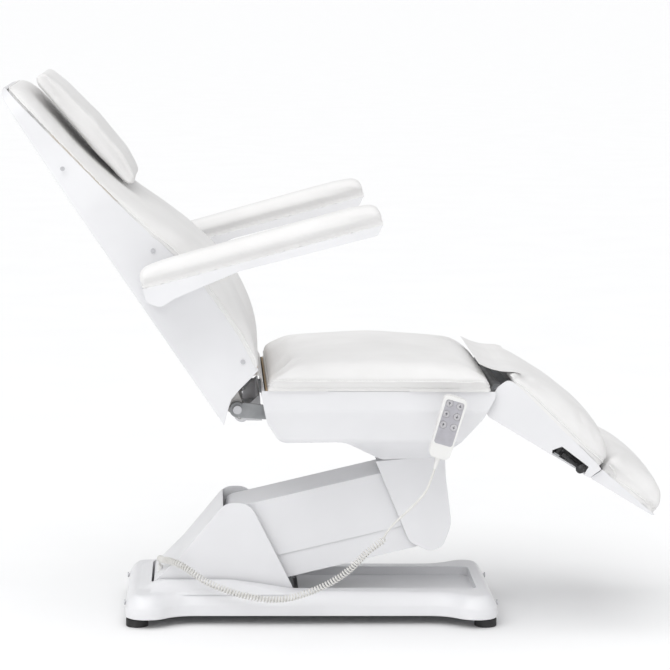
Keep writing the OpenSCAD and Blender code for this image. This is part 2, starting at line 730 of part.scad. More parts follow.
module back_board() {
    low = [for (p = seam) if (p[0] < back_len - 40) p];
    color("burlywood") intersection() {
        slab(back_pts(concat(lowered(low, 1), reversed(lowered(low, 14)))), 2 * (shell_half - cover_wall - 1));
        back_plan(shell_half - cover_wall - 1, back_top_w / 2 - 12, -6);
    }
}

module back_cushion() {
    crown = [[back_len - 1, -14], [back_len - 6, 0], [back_len - 34, 12], [back_len - 70, 18], [735, 25],
        [670, 33], [600, 49], [520, 74], [450, 106], [387, 129], [356, 138], [300, 152], [233, 159],
        [190, 158], [157, 153], [112, 137], [79, 114]];
    color("white") intersection() {
        slab(back_pts(concat(seam, crown)), back_w);
        back_plan(back_w / 2, back_top_w / 2);
    }
}

armrest_pivot = back_pt([334, 8]);

module back_frame() {
    plate = [[-17, -12], [-17, 12], [60, 30], [260, 40], [500, 20], [640, 4], [640, -26], [300, -29], [40, -29]];
    horn_end = back_horn;
    color("dimgray") difference() {
        union() {
            for (side = [-1, 1]) {
                slab(back_pts(plate), 10, side * (torque_y - 5));
                bar(back_pivot, hinge_r, 10, side * (torque_y - 5));
            }
            bar(back_pivot, 13, 2 * torque_y - 52);
            for (side = [-1, 1]) bar(back_pivot, hinge_r, 26, side * (torque_y - 23));
            for (p = [[120, 2], [334, 8], [600, -10]]) bar(back_pt(p), 11, 2 * torque_y - 12);
            for (side = [-1, 1]) bar(armrest_pivot, pin_r + 9, shell_half - cover_wall - torque_y + 12,
                side * (shell_half - cover_wall + torque_y - 12) / 2);
            for (s = [-1, 1])
                slab([back_pivot + [-12, 0], back_pivot + [12, 0], horn_end + [10, -4], horn_end + [0, -10],
                    horn_end + [-10, -4]], 5, back_drive_y + s * 14);
            bar(horn_end, drive_pin_r, 33, back_drive_y);
        }
        for (side = [-1, 1]) bar(back_pivot, pin_r + pin_fit, 34, side * (torque_y - 2));
        bar(armrest_pivot, pin_r + pin_fit, 36, shell_half);
        bar(armrest_pivot, pin_r + pin_fit, 36, -shell_half);
    }
}

screw_spots = [[656, -9], [402, 52], [92, 76]];

module back_screws() {
    color("silver") for (p = screw_spots) for (side = [-1, 1])
        bar(back_pt(p), 5, 3, side * ((p[0] > 600 ? shell_half - 4.6 : shell_half) + 1.5));
}

module back_flap() {
    color("white") slab([[seat_x0 - 26, seat_z + 27], [seat_x0 - 14, seat_z + 30], [seat_x0 - 7, seat_z + 24],
        [seat_x0 - 2, seat_z + 16], [seat_x0 - 2, seat_z + 12], [seat_x0 - 10, seat_z + 20],
        [seat_x0 - 16, seat_z + 26], [seat_x0 - 26, seat_z + 24]], 440);
}

module head_pillow() {
    color("white") slab(back_pts(rounded([[533, 79, 10], [538, 100, 14], [600, 109, 60], [700, 101, 100],
        [800, 80, 60], [853, 63, 14], [850, 37, 10], [760, 46, 60], [640, 57, 60]])), pillow_w);
}

// ---- armrests: drawn for one side, with p along the armrest from its pivot and q above it ----------

armrest_y = back_w / 2 + armrest_gap + armrest_w / 2;   // middle of an armrest
function armrest_pts(pts) = placed(armrest_pivot, armrest_slope, pts);
pad_low = 16;
armrest_p1 = armrest_len - 20;

module armrest_pad(side) {
    color("white") slab(armrest_pts(rounded([[-20, pad_low, 6], [armrest_p1, pad_low, 6],
        [armrest_p1, pad_low + 46, 26], [armrest_p1 - 60, pad_low + 50, 100], [40, pad_low + 46, 100],
        [-20, pad_low + 42, 24]])), armrest_w, side * armrest_y);
}

module armrest_tray(side) {
    outer = [[-18, pad_low], [-18, -12, 12], [8, -31, 12], [44, -20, 20], [186, 0, 60],
        [armrest_p1 - 20, -3, 10], [armrest_p1 - 4, pad_low, 0]];
    half = armrest_w / 2 - 2;
    color("white") difference() {
        slab(armrest_pts(rounded(outer)), 2 * half, side * armrest_y);
        slab(armrest_pts([[-14, pad_low - 3], [-14, -8], [8, -26], [44, -16], [186, 4],
            [armrest_p1 - 24, 3], [armrest_p1 - 14, pad_low - 3]]), 2 * (half - 3), side * armrest_y);
        bar(armrest_pivot, pin_r + 4, 40, side * (armrest_y - half));
    }
}

module armrest_bracket(side) {
    inner_y = armrest_y - armrest_w / 2 + 5;
    color("silver") {
        bar(armrest_pivot, pin_r, inner_y - shell_half + 16, side * (inner_y + shell_half - 16) / 2);
        bar(armrest_pivot, 22, inner_y - 3 - back_w / 2 - 3 - 4, side * (inner_y - 7 + back_w / 2 + 3) / 2);
        slab(armrest_pts([[-12, -8], [6, -21], [20, -18], [60, -9], [150, 3], [150, 9], [-12, 12]]), 6,
            side * (inner_y + 3));
    }
}

// ---- leg rest and foot extension: s along the leg rest from its pivot, t above it ------------------

leg_belly = -54;
leg_end = leg_len - 17;
seam_in = [25, 38];
seam_out = [leg_end + 3, -18];
leg_shell_half = leg_w / 2 - 2;
tube_y = 135;
rail_half = 12;

module leg_shell() {
    outer = [[-6, leg_belly, 14], [leg_end, leg_belly, 4], [leg_end + 13, -24, 2], [leg_end + 2, -19, 0],
        [25, 37, 10], [-4, 41, 16], [-16, 10, 20]];
    inner = [[2, leg_belly + cover_wall], [leg_end - 3, leg_belly + cover_wall], [leg_end + 6, -24],
        [leg_end + 2, 200], [-4, 200], [-60, 100], [-60, leg_belly - 20], [2, leg_belly - 20]];
    color("white") difference() {
        slab(leg_pts(rounded(outer)), 2 * leg_shell_half);
        slab(leg_pts(inner), 2 * (leg_shell_half - cover_wall));
        slab(leg_pts([[-60, leg_belly - 20], [66, leg_belly - 20], [66, 0], [-60, 0]]), 2 * 214);
        slab(leg_pts([[162, -44], [176, -26], [251, -34], [251, leg_belly - 4], [170, leg_belly - 4]]), 26,
            -leg_shell_half);
        for (side = [-1, 1])
            slab(leg_pts([[leg_end - 20, -49.5], [leg_end + 30, -49.5], [leg_end + 30, -30.5],
                [leg_end - 20, -30.5]]), 2 * rail_half + 8, side * tube_y);
    }
}

module leg_cushion() {
    color("white") slab(leg_pts(rounded([[-14, 46, 4], [-4, 42, 0], seam_in, seam_out,
        [leg_end + 14, -15, 6], [leg_end + 14, 22, 22], [leg_end - 15, 47, 40], [leg_end - 65, 60, 100],
        [130, 67, 200], [40, 65, 60], [2, 56, 18]])), leg_w);
}

module leg_frame() {
    horn_end = leg_horn;
    color("dimgray") difference() {
        union() {
            for (side = [-1, 1]) {
                slab(leg_pts([[-14, -10], [-6, 15], [20, 17], [200, -20], [200, -48], [80, -48], [10, -17]]), 10,
                    side * (torque_y - 5));
                bar(leg_pivot, hinge_r, 10, side * (torque_y - 5));
                bar(leg_pivot, hinge_r, 26, side * (torque_y - 23));
            }
            bar(leg_pivot, 13, 2 * torque_y - 52);
            on(leg_pivot, -leg_slope) {
                for (side = [-1, 1]) difference() {
                    translate([68, side * tube_y - rail_half - 4, leg_belly + cover_wall])
                        cube([leg_end - 76, 2 * rail_half + 8, 21]);
                    translate([60, side * tube_y - rail_half - 1, -49])
                        cube([leg_end, 2 * rail_half + 2, 17.6]);
                }
                for (s = [80, 180]) for (side = [-1, 1])
                    block(s, s + 16, side > 0 ? tube_y + rail_half + 3 : -torque_y + 2,
                        side > 0 ? torque_y - 2 : -tube_y - rail_half - 3, -46, -31);
                block(80, 96, -tube_y + rail_half + 3, tube_y - rail_half - 3, -46, -34);
            }
            for (s = [-1, 1])
                slab([leg_pivot + [-12, 0], leg_pivot + [12, 0], horn_end + [10, -4], horn_end + [0, -10],
                    horn_end + [-10, -4]], 5, leg_drive_y + s * 14);
            bar(horn_end, drive_pin_r, 33, leg_drive_y);
            // the lever's bracket and its pin
            on(leg_pivot, -leg_slope) {
                block(lever_s - 7, lever_s + 7, -lever_y - 8, -torque_y + 2, -50, lever_t - 7.5);
                translate([lever_s, -lever_y, lever_t - 8]) cylinder(r = 3, h = 20);
            }
        }
        for (side = [-1, 1]) bar(leg_pivot, pin_r + pin_fit, 34, side * (torque_y - 2));
    }
}

lever_s = 176;
lever_t = -38;
lever_y = leg_shell_half - 12;
lever_len = 56;
lever_droop = 9;
knob_r = 10;

module release_lever() {
    color([0.05, 0.05, 0.05]) on(leg_pivot, -leg_slope) translate([lever_s, -lever_y, lever_t]) {
        difference() {
            translate([0, 0, -7]) cylinder(r = 7, h = 14);
            translate([0, 0, -8]) cylinder(r = 3 + pin_fit, h = 16);
        }
        rotate([0, lever_droop, 0]) {
            translate([5, 0, 0]) rotate([0, 90, 0]) cylinder(r = 3.5, h = 8);
            translate([9, -15.5, -3.5]) cube([7, 19, 7]);
            translate([12, -12, 0]) rotate([0, 90, 0]) cylinder(r = 3.5, h = lever_len - 12);
            translate([lever_len + 6, -12, 0]) sphere(r = knob_r);
        }
    }
}

foot_in = leg_end + foot_gap;
foot_end = foot_in + foot_len;

module foot_rails() {
    color("silver") on(leg_pivot, -leg_slope) {
        for (side = [-1, 1])
            translate([72, side * tube_y - rail_half, -48]) cube([foot_in - 12, 2 * rail_half, 15.6]);
        translate([foot_in + 22, -tube_y, -48]) cube([16, 2 * tube_y, 10]);
    }
}

module foot_shell() {
    outer = [[foot_in, leg_belly, 4], [foot_end - 6, leg_belly, 0], [foot_end, leg_belly + 4, 0],
        [foot_in + 14, -24, 0]];
    inner = [[foot_in + 3, leg_belly + 3], [foot_end - 20, leg_belly + 3], [foot_end - 24, 0],
        [foot_in + 17, 0]];
    color("white") difference() {
        slab(leg_pts(rounded(outer)), foot_w);
        slab(leg_pts(inner), foot_w - 8);
        for (side = [-1, 1])
            slab(leg_pts([[foot_in - 10, -49], [foot_in + 30, -49], [foot_in + 30, -31], [foot_in - 10, -31]]),
                2 * rail_half + 4, side * tube_y);
    }
}

module foot_cushion() {
    color("white") slab(leg_pts(rounded([[foot_in + 15, -22.5, 0], [foot_end, leg_belly + 5.5, 4],
        [foot_end + 2, -24, 12], [foot_end - 9, 6, 24], [foot_end - 37, 22, 40], [foot_in + 82, 27, 100],
        [foot_in + 32, 24, 20], [foot_in + 16, 12, 8]])), foot_w + 4);
}

// ---- handset ------------------------------------------------------------------------------------

button_rows = [53, 29, 5];
button_cols = [-12, 12];
face_y = handset_y - handset_t / 2;
pocket = 5;         // depth of a button's pocket
button_gap = 0.4;

module button_at(i, j) {
    p = handset_pt(button_cols[j], button_rows[i]);
    color("gainsboro") bar(p, button_r, pocket - 1.4 + button_h, face_y + (pocket - 1.4 - button_h) / 2);
}

module handset_case() {
    w = handset_w / 2;
    h = handset_len / 2;
    color("ivory") difference() {
        union() {
            slab(rounded([for (p = [[-w + 3, -h, 12], [w - 3, -h, 12], [w, h, 10], [-w, h, 10]])
                let (q = handset_pt(p[0], p[1])) [q[0], q[1], p[2]]]), handset_t, handset_y);
            handset_box(-12, 12, hook_top - 4, hook_top, handset_y + handset_t / 2 - 1, tongue_y + 9);
            handset_box(-12, 12, hook_top - 20, hook_top, tongue_y + 5, tongue_y + 9);
        }
        for (i = [0:2]) for (j = [0:1])
            bar(handset_pt(button_cols[j], button_rows[i]), button_r + button_gap, pocket + cut,
                face_y + (pocket - cut) / 2);
    }
}

module back_up_button() { button_at(0, 0); }
module back_down_button() { button_at(0, 1); }
module lift_up_button() { button_at(1, 0); }
module lift_down_button() { button_at(1, 1); }
module leg_up_button() { button_at(2, 0); }
module leg_down_button() { button_at(2, 1); }

// ---- cord ---------------------------------------------------------------------------------------

relief_len = 26;

module strain_relief() {
    p = handset_pt(0, -handset_len / 2);
    color("ivory") translate([p[0], handset_y, p[1]]) rotate([0, handset_lean - 180, 0])
        rotate_extrude() polygon([[0, 0], [6.5, 0], [5, 8], [cord_d / 2 + 0.8, relief_len], [0, relief_len]]);
}

relief_end = handset_pt(0, -handset_len / 2 - relief_len);
lead_end = [109, -265, 220];
lead_route = [[relief_end[0], handset_y, relief_end[1]], [205, -333, 362], [193, -322, 330],
    [166, -306, 295], [137, -288, 263], [118, -274, 238], lead_end];
// The curled part starts on the lead's line, a hair clear of it, and ends straight down into the gland
cord_gap = 0.4;
lead_way = unit(lead_end - lead_route[5]);
curl_route = [lead_end + cord_gap * lead_way, lead_end + 12 * lead_way, [73, -255, 184], [30, -240, 137],
    [-24, -225, 100], [-90, -210, 72], [-146, -203, 66], [-212, -200, 78], [-279, -185, 101],
    [-335, -150, 130], [-366, -112, 134], [-378, -86, 130], [-385, -62, 128],
    [gland_p[0], gland_p[1], gland_top + 13], [gland_p[0], gland_p[1], gland_top + cord_gap]];

// A smooth curve through the route's points, n steps between each two
function spline(r, n) = [for (i = [0:len(r) - 2]) for (k = [0:n - 1])
    let (a = r[max(0, i - 1)], b = r[i], c = r[i + 1], d = r[min(len(r) - 1, i + 2)], t = k / n)
    0.5 * ((2 * b) + (c - a) * t + (2 * a - 5 * b + 4 * c - d) * t * t + (3 * b - a - 3 * c + d) * t * t * t),
    r[len(r) - 1]];

// A tube of radius r along a line of points
module tube(line, r, sides = 8) {
    n = len(line);
    rings = [for (i = [0:n - 1])
        let (t = unit(line[min(n - 1, i + 1)] - line[max(0, i - 1)]),
             a = unit(cross(t, abs(t[2]) > 0.9 ? [0, 1, 0] : [0, 0, 1])), b = cross(t, a))
        each [for (k = [0:sides - 1]) line[i] + r * (cos(360 * k / sides) * a + sin(360 * k / sides) * b)]];
    faces = concat([[for (k = [0:sides - 1]) k]],
        [for (i = [0:n - 2]) for (k = [0:sides - 1])
            [i * sides + k, (i + 1) * sides + k, (i + 1) * sides + (k + 1) % sides, i * sides + (k + 1) % sides]],
        [[for (k = [sides - 1:-1:0]) (n - 1) * sides + k]]);
    polyhedron(rings, faces);
}

module cord_lead() { color("ivory") tube(spline(lead_route, 2), cord_d / 2); }
module cord_curl() { color("ivory") tube(spline(curl_route, 1), curl_d / 2); }

module near_armrest_pad() { armrest_pad(-1); }
module near_armrest_tray() { armrest_tray(-1); }
module near_armrest_bracket() { armrest_bracket(-1); }
module far_armrest_pad() { armrest_pad(1); }
module far_armrest_tray() { armrest_tray(1); }
module far_armrest_bracket() { armrest_bracket(1); }

base_frame();
base_cover_head();
base_cover_foot();
tower_cover();
levelling_feet();
base_screws();
control_box();
cord_gland();
base_pivot_pins();
lower_arms();
arm_lower_cover();
upper_arms();
arm_cover();
lift_actuator_body();
lift_actuator_rod();
seat_frame();
yoke_cover();
seat_cover();
seat_tail_cover();
seat_board();
seat_cushion();
seat_pivot_pins();
handset_holder();
leg_flap();
back_actuator_body();
back_actuator_rod();
leg_actuator_body();
leg_actuator_rod();
back_frame();
back_shell();
back_board();
back_cushion();
back_screws();
back_flap();
head_pillow();
near_armrest_pad();
near_armrest_tray();
near_armrest_bracket();
far_armrest_pad();
far_armrest_tray();
far_armrest_bracket();
leg_frame();
leg_shell();
leg_cushion();
release_lever();
foot_rails();
foot_shell();
foot_cushion();
handset_case();
back_up_button();
back_down_button();
lift_up_button();
lift_down_button();
leg_up_button();
leg_down_button();
strain_relief();
cord_lead();
cord_curl();
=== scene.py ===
"""Three-motor treatment bed: the visual model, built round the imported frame. Lengths in outlines are millimetres."""
import json
import math

import bmesh
import bpy
import numpy as np
from mathutils import Matrix, Vector, kdtree
from mathutils.bvhtree import BVHTree
from mathutils.geometry import tessellate_polygon
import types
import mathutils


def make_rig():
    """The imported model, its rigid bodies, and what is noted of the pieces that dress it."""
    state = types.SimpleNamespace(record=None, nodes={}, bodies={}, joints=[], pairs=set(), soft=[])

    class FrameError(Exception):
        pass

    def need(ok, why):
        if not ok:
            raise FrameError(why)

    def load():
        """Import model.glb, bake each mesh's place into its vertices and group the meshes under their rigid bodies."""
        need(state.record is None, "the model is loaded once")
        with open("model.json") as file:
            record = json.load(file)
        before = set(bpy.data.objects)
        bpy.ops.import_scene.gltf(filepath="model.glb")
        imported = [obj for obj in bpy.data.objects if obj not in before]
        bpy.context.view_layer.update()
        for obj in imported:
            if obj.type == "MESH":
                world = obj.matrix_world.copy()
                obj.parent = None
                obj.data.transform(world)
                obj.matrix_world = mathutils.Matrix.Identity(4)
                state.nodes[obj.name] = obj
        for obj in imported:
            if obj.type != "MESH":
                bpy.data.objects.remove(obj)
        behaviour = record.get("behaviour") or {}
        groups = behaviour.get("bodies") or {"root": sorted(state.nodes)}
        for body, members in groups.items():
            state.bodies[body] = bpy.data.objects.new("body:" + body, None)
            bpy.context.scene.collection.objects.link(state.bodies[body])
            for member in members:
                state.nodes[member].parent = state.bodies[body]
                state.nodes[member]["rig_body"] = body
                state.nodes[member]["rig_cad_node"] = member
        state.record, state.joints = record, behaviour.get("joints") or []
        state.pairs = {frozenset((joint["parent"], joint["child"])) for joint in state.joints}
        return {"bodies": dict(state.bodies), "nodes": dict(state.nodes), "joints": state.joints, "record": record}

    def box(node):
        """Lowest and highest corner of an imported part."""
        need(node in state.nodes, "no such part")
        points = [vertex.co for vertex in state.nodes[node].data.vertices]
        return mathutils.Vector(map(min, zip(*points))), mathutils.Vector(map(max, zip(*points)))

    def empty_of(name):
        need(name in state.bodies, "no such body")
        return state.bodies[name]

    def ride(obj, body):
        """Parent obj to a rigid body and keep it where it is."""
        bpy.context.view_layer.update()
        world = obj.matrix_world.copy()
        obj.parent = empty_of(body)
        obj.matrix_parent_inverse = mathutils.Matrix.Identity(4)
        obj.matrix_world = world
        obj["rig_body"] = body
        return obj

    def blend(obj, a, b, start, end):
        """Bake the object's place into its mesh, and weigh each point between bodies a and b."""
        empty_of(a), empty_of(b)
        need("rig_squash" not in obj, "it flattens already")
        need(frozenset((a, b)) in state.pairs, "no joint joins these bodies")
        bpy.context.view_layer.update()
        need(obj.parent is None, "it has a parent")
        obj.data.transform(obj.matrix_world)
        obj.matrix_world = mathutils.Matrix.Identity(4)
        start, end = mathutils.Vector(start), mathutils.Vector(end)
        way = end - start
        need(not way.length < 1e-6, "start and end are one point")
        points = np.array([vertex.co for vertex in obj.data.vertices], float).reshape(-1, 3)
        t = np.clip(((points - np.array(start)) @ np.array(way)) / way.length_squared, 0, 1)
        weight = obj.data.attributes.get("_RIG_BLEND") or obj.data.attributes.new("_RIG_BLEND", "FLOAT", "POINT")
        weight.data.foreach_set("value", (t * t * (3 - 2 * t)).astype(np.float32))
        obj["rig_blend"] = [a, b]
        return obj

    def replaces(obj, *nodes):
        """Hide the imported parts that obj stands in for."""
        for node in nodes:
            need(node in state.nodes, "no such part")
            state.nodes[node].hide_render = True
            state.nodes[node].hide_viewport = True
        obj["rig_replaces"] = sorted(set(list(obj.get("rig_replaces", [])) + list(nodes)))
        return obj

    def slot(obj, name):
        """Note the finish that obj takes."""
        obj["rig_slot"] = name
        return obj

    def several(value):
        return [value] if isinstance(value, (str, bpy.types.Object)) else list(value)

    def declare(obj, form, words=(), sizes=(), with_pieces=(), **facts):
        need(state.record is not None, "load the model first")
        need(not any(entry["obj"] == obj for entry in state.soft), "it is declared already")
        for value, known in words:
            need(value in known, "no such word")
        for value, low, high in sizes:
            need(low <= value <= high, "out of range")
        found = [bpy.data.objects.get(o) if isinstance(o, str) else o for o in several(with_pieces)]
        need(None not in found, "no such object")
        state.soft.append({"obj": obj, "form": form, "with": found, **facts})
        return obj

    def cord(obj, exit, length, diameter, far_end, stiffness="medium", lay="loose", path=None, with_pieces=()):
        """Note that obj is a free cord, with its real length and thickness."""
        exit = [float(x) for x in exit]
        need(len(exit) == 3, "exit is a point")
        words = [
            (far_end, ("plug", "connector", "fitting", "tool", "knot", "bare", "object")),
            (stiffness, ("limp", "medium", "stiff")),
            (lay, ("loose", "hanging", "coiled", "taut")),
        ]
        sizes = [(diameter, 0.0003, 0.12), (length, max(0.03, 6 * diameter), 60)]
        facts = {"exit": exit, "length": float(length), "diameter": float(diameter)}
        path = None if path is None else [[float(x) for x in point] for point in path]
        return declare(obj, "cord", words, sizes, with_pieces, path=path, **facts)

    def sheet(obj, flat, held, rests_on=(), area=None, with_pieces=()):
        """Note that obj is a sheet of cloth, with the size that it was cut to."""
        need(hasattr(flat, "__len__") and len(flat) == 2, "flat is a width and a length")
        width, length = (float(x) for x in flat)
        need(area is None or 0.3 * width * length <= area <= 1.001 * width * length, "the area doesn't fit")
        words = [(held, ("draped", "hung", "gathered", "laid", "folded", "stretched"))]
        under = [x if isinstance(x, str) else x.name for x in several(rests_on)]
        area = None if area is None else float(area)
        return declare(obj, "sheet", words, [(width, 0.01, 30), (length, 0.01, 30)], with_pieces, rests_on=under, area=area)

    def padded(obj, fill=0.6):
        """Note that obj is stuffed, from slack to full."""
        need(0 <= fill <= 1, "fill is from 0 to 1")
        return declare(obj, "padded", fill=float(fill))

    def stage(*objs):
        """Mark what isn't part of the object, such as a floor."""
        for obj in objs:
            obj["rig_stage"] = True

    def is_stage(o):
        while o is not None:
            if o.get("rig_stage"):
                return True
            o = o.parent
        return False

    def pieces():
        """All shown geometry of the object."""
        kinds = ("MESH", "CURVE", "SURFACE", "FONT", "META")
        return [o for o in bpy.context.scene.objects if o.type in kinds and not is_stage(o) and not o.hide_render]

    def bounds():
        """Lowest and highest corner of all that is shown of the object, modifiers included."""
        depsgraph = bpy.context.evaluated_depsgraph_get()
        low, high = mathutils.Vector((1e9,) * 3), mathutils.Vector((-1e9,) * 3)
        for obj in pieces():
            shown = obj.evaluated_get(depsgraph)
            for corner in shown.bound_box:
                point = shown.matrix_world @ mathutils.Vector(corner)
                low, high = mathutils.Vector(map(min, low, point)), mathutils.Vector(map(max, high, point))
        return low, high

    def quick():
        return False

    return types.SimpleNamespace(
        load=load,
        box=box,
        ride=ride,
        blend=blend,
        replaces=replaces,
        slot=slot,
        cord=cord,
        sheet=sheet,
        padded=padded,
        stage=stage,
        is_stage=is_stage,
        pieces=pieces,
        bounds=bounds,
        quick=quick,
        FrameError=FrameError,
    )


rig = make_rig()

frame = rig.load()
CAD_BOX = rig.bounds()
MM = 0.001
SCENE = bpy.context.scene
JOINTS = {j["name"]: j for j in frame["joints"]}


# ---- frames of the moving parts ------------------------------------------------------------------

def pivot(name):
    return Vector(JOINTS[name]["pos_m"])


def axis(name):
    return Vector(JOINTS[name]["axis"]).normalized()


def plane(origin, right, up):
    """A function from (a, b, y) in millimetres to a point: a along right, b along up, y across the bed.

    Its back() gives the (a, b) of a point."""
    o = Vector((origin.x, 0, origin.z))

    def place(a, b, y=0.0):
        return o + (right * a + up * b + Vector((0, y, 0))) * MM
    place.back = lambda p: ((Vector(p) - o).dot(right) / MM, (Vector(p) - o).dot(up) / MM)
    return place


def square_to(d):
    return Vector((-d.z, 0, d.x))


WORLD = plane(Vector(), Vector((1, 0, 0)), Vector((0, 0, 1)))
seat_low, seat_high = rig.box("seat_cushion")
SEAT = plane(seat_low, Vector((1, 0, 0)), Vector((0, 0, 1)))
front = axis("pillow_lift")
BACK = plane(pivot("back_recline"), square_to(front), front)
leg_way = axis("foot_extension")
LEG = plane(pivot("leg_rest_lift"), leg_way, square_to(leg_way))
ARMREST_SLOPE = math.radians(15.4)
armrest_way = Vector((math.cos(ARMREST_SLOPE), 0, math.sin(ARMREST_SLOPE)))
ARMREST = plane(pivot("near_armrest_swing"), armrest_way, square_to(armrest_way))
hand_up = axis("handset_lift")
case_low, case_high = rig.box("handset_case")
KEYS = ["back_up_button", "back_down_button", "lift_up_button", "lift_down_button", "leg_up_button",
        "leg_down_button"]
KEY_ROWS_AT = 29 * MM    # the middle of the button rows above the middle of the handset
keys_at = sum(((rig.box(n)[0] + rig.box(n)[1]) / 2 for n in KEYS), Vector()) / len(KEYS)
HAND = plane(keys_at - hand_up * KEY_ROWS_AT, Vector((hand_up.z, 0, -hand_up.x)), hand_up)


# ---- camera ---------------------------------------------------------------------------------------

CAMERA_AT = Vector((-0.285, -6.300, 1.466))
CAMERA_WAY = Vector((130, 2791, -369))
CAMERA_LENS = 150.4
CAMERA_ROLL = math.radians(0.6)


def make_camera():
    data = bpy.data.cameras.new("camera")
    data.lens = CAMERA_LENS
    data.sensor_width = 36
    camera = bpy.data.objects.new("camera", data)
    SCENE.collection.objects.link(camera)
    look = CAMERA_WAY.to_track_quat("-Z", "Y").to_matrix().to_4x4()
    camera.matrix_world = Matrix.Translation(CAMERA_AT) @ look @ Matrix.Rotation(CAMERA_ROLL, 4, "Z")
    SCENE.camera = camera


make_camera()


# ---- materials ------------------------------------------------------------------------------------

def coords(nodes, links):
    source = nodes.new("ShaderNodeTexCoord")
    return source.outputs["Object"]


def noise(nodes, links, vector, scale, detail=3.0, rough=0.5, distortion=0.0):
    n = nodes.new("ShaderNodeTexNoise")
    n.inputs["Scale"].default_value = scale
    n.inputs["Detail"].default_value = detail
    n.inputs["Roughness"].default_value = rough
    n.inputs["Distortion"].default_value = distortion
    links.new(vector, n.inputs["Vector"])
    return n.outputs["Fac"]


def cells(nodes, links, vector, scale, feature="DISTANCE_TO_EDGE"):
    n = nodes.new("ShaderNodeTexVoronoi")
    n.feature = feature
    n.inputs["Scale"].default_value = scale
    links.new(vector, n.inputs["Vector"])
    return n.outputs["Distance"]


def ramp(nodes, links, value, stops):
    n = nodes.new("ShaderNodeValToRGB")
    while len(n.color_ramp.elements) < len(stops):
        n.color_ramp.elements.new(0.5)
    for e, (at, colour) in zip(n.color_ramp.elements, stops):
        e.position = at
        e.color = (*colour, 1) if len(colour) == 3 else colour
    links.new(value, n.inputs["Fac"])
    return n.outputs["Color"]


def spread(nodes, links, value, low, high):
    n = nodes.new("ShaderNodeMapRange")
    n.inputs["To Min"].default_value = low
    n.inputs["To Max"].default_value = high
    links.new(value, n.inputs["Value"])
    return n.outputs["Result"]


def stretched(nodes, links, vector, scale):
    n = nodes.new("ShaderNodeMapping")
    n.inputs["Scale"].default_value = scale
    links.new(vector, n.inputs["Vector"])
    return n.outputs["Vector"]


def bump(nodes, links, heights, shader):
    """heights: (value, strength, distance in metres), the coarsest first."""
    last = None
    for value, strength, distance in heights:
        n = nodes.new("ShaderNodeBump")
        n.inputs["Strength"].default_value = strength
        n.inputs["Distance"].default_value = distance
        links.new(value, n.inputs["Height"])
        if last:
            links.new(last, n.inputs["Normal"])
        last = n.outputs["Normal"]
    links.new(last, shader.inputs["Normal"])


def new_material(name, **sockets):
    m = bpy.data.materials.new(name)
    m.use_nodes = True
    nodes, links = m.node_tree.nodes, m.node_tree.links
    shader = nodes["Principled BSDF"]
    for key, value in sockets.items():
        shader.inputs[key.replace("_", " ")].default_value = value
    return m, nodes, links, shader, coords(nodes, links)


def leather():
    m, nodes, links, shader, at = new_material("white_leatherette", Sheen_Weight=0.05, Specular_IOR_Level=0.35)
    tone = noise(nodes, links, at, 7, 4)
    grain = cells(nodes, links, at, 620)
    pores = noise(nodes, links, at, 1500, 2)
    creases = noise(nodes, links, at, 34, 5, 0.55, 0.8)
    swell = noise(nodes, links, at, 9, 2)
    colour = ramp(nodes, links, tone, [(0.3, (0.77, 0.762, 0.755)), (0.7, (0.83, 0.823, 0.816))])
    links.new(colour, shader.inputs["Base Color"])
    links.new(spread(nodes, links, creases, 0.52, 0.68), shader.inputs["Roughness"])
    bump(nodes, links, [(swell, 0.25, 0.004), (creases, 0.16, 0.0012), (grain, 0.4, 0.00025),
                        (pores, 0.15, 0.0001)], shader)
    return m


def plastic(name, low, high, rough, coat=0.15):
    """Moulded ABS: a little colour drift, slight waviness and a fine orange-peel skin."""
    m, nodes, links, shader, at = new_material(name, Coat_Weight=coat, Coat_Roughness=0.12)
    tone = noise(nodes, links, at, 5, 3)
    skin = noise(nodes, links, at, 900, 2)
    wave = noise(nodes, links, at, 12, 1)
    wear = noise(nodes, links, at, 160, 6, 0.7)
    links.new(ramp(nodes, links, tone, [(0.3, low), (0.7, high)]), shader.inputs["Base Color"])
    links.new(spread(nodes, links, wear, rough - 0.06, rough + 0.08), shader.inputs["Roughness"])
    bump(nodes, links, [(wave, 0.12, 0.0012), (skin, 0.1, 0.00008)], shader)
    return m


def metal(name, colour, rough, brushed, scale=(30, 900, 900)):
    m, nodes, links, shader, at = new_material(name, Metallic=1.0)
    lines = noise(nodes, links, stretched(nodes, links, at, scale), 1, 4)
    tone = noise(nodes, links, at, 40, 3)
    dark = tuple(c * 0.82 for c in colour)
    links.new(ramp(nodes, links, tone, [(0.25, dark), (0.75, colour)]), shader.inputs["Base Color"])
    links.new(spread(nodes, links, lines, rough - 0.08, rough + 0.1), shader.inputs["Roughness"])
    bump(nodes, links, [(lines, brushed, 0.00012)], shader)
    return m


def powder_coat():
    m, nodes, links, shader, at = new_material("powder_coat", Metallic=0.0)
    tone = noise(nodes, links, at, 30, 3)
    grit = noise(nodes, links, at, 1400, 2)
    links.new(ramp(nodes, links, tone, [(0.3, (0.30, 0.31, 0.32)), (0.7, (0.42, 0.43, 0.44))]),
              shader.inputs["Base Color"])
    links.new(spread(nodes, links, grit, 0.38, 0.52), shader.inputs["Roughness"])
    bump(nodes, links, [(grit, 0.3, 0.0001)], shader)
    return m


def dull(name, low, high, rough, scale, strength, depth):
    m, nodes, links, shader, at = new_material(name)
    tone = noise(nodes, links, at, 60, 4)
    grain = noise(nodes, links, at, scale, 3)
    links.new(ramp(nodes, links, tone, [(0.3, low), (0.7, high)]), shader.inputs["Base Color"])
    links.new(spread(nodes, links, grain, rough - 0.08, rough + 0.08), shader.inputs["Roughness"])
    bump(nodes, links, [(grain, strength, depth)], shader)
    return m


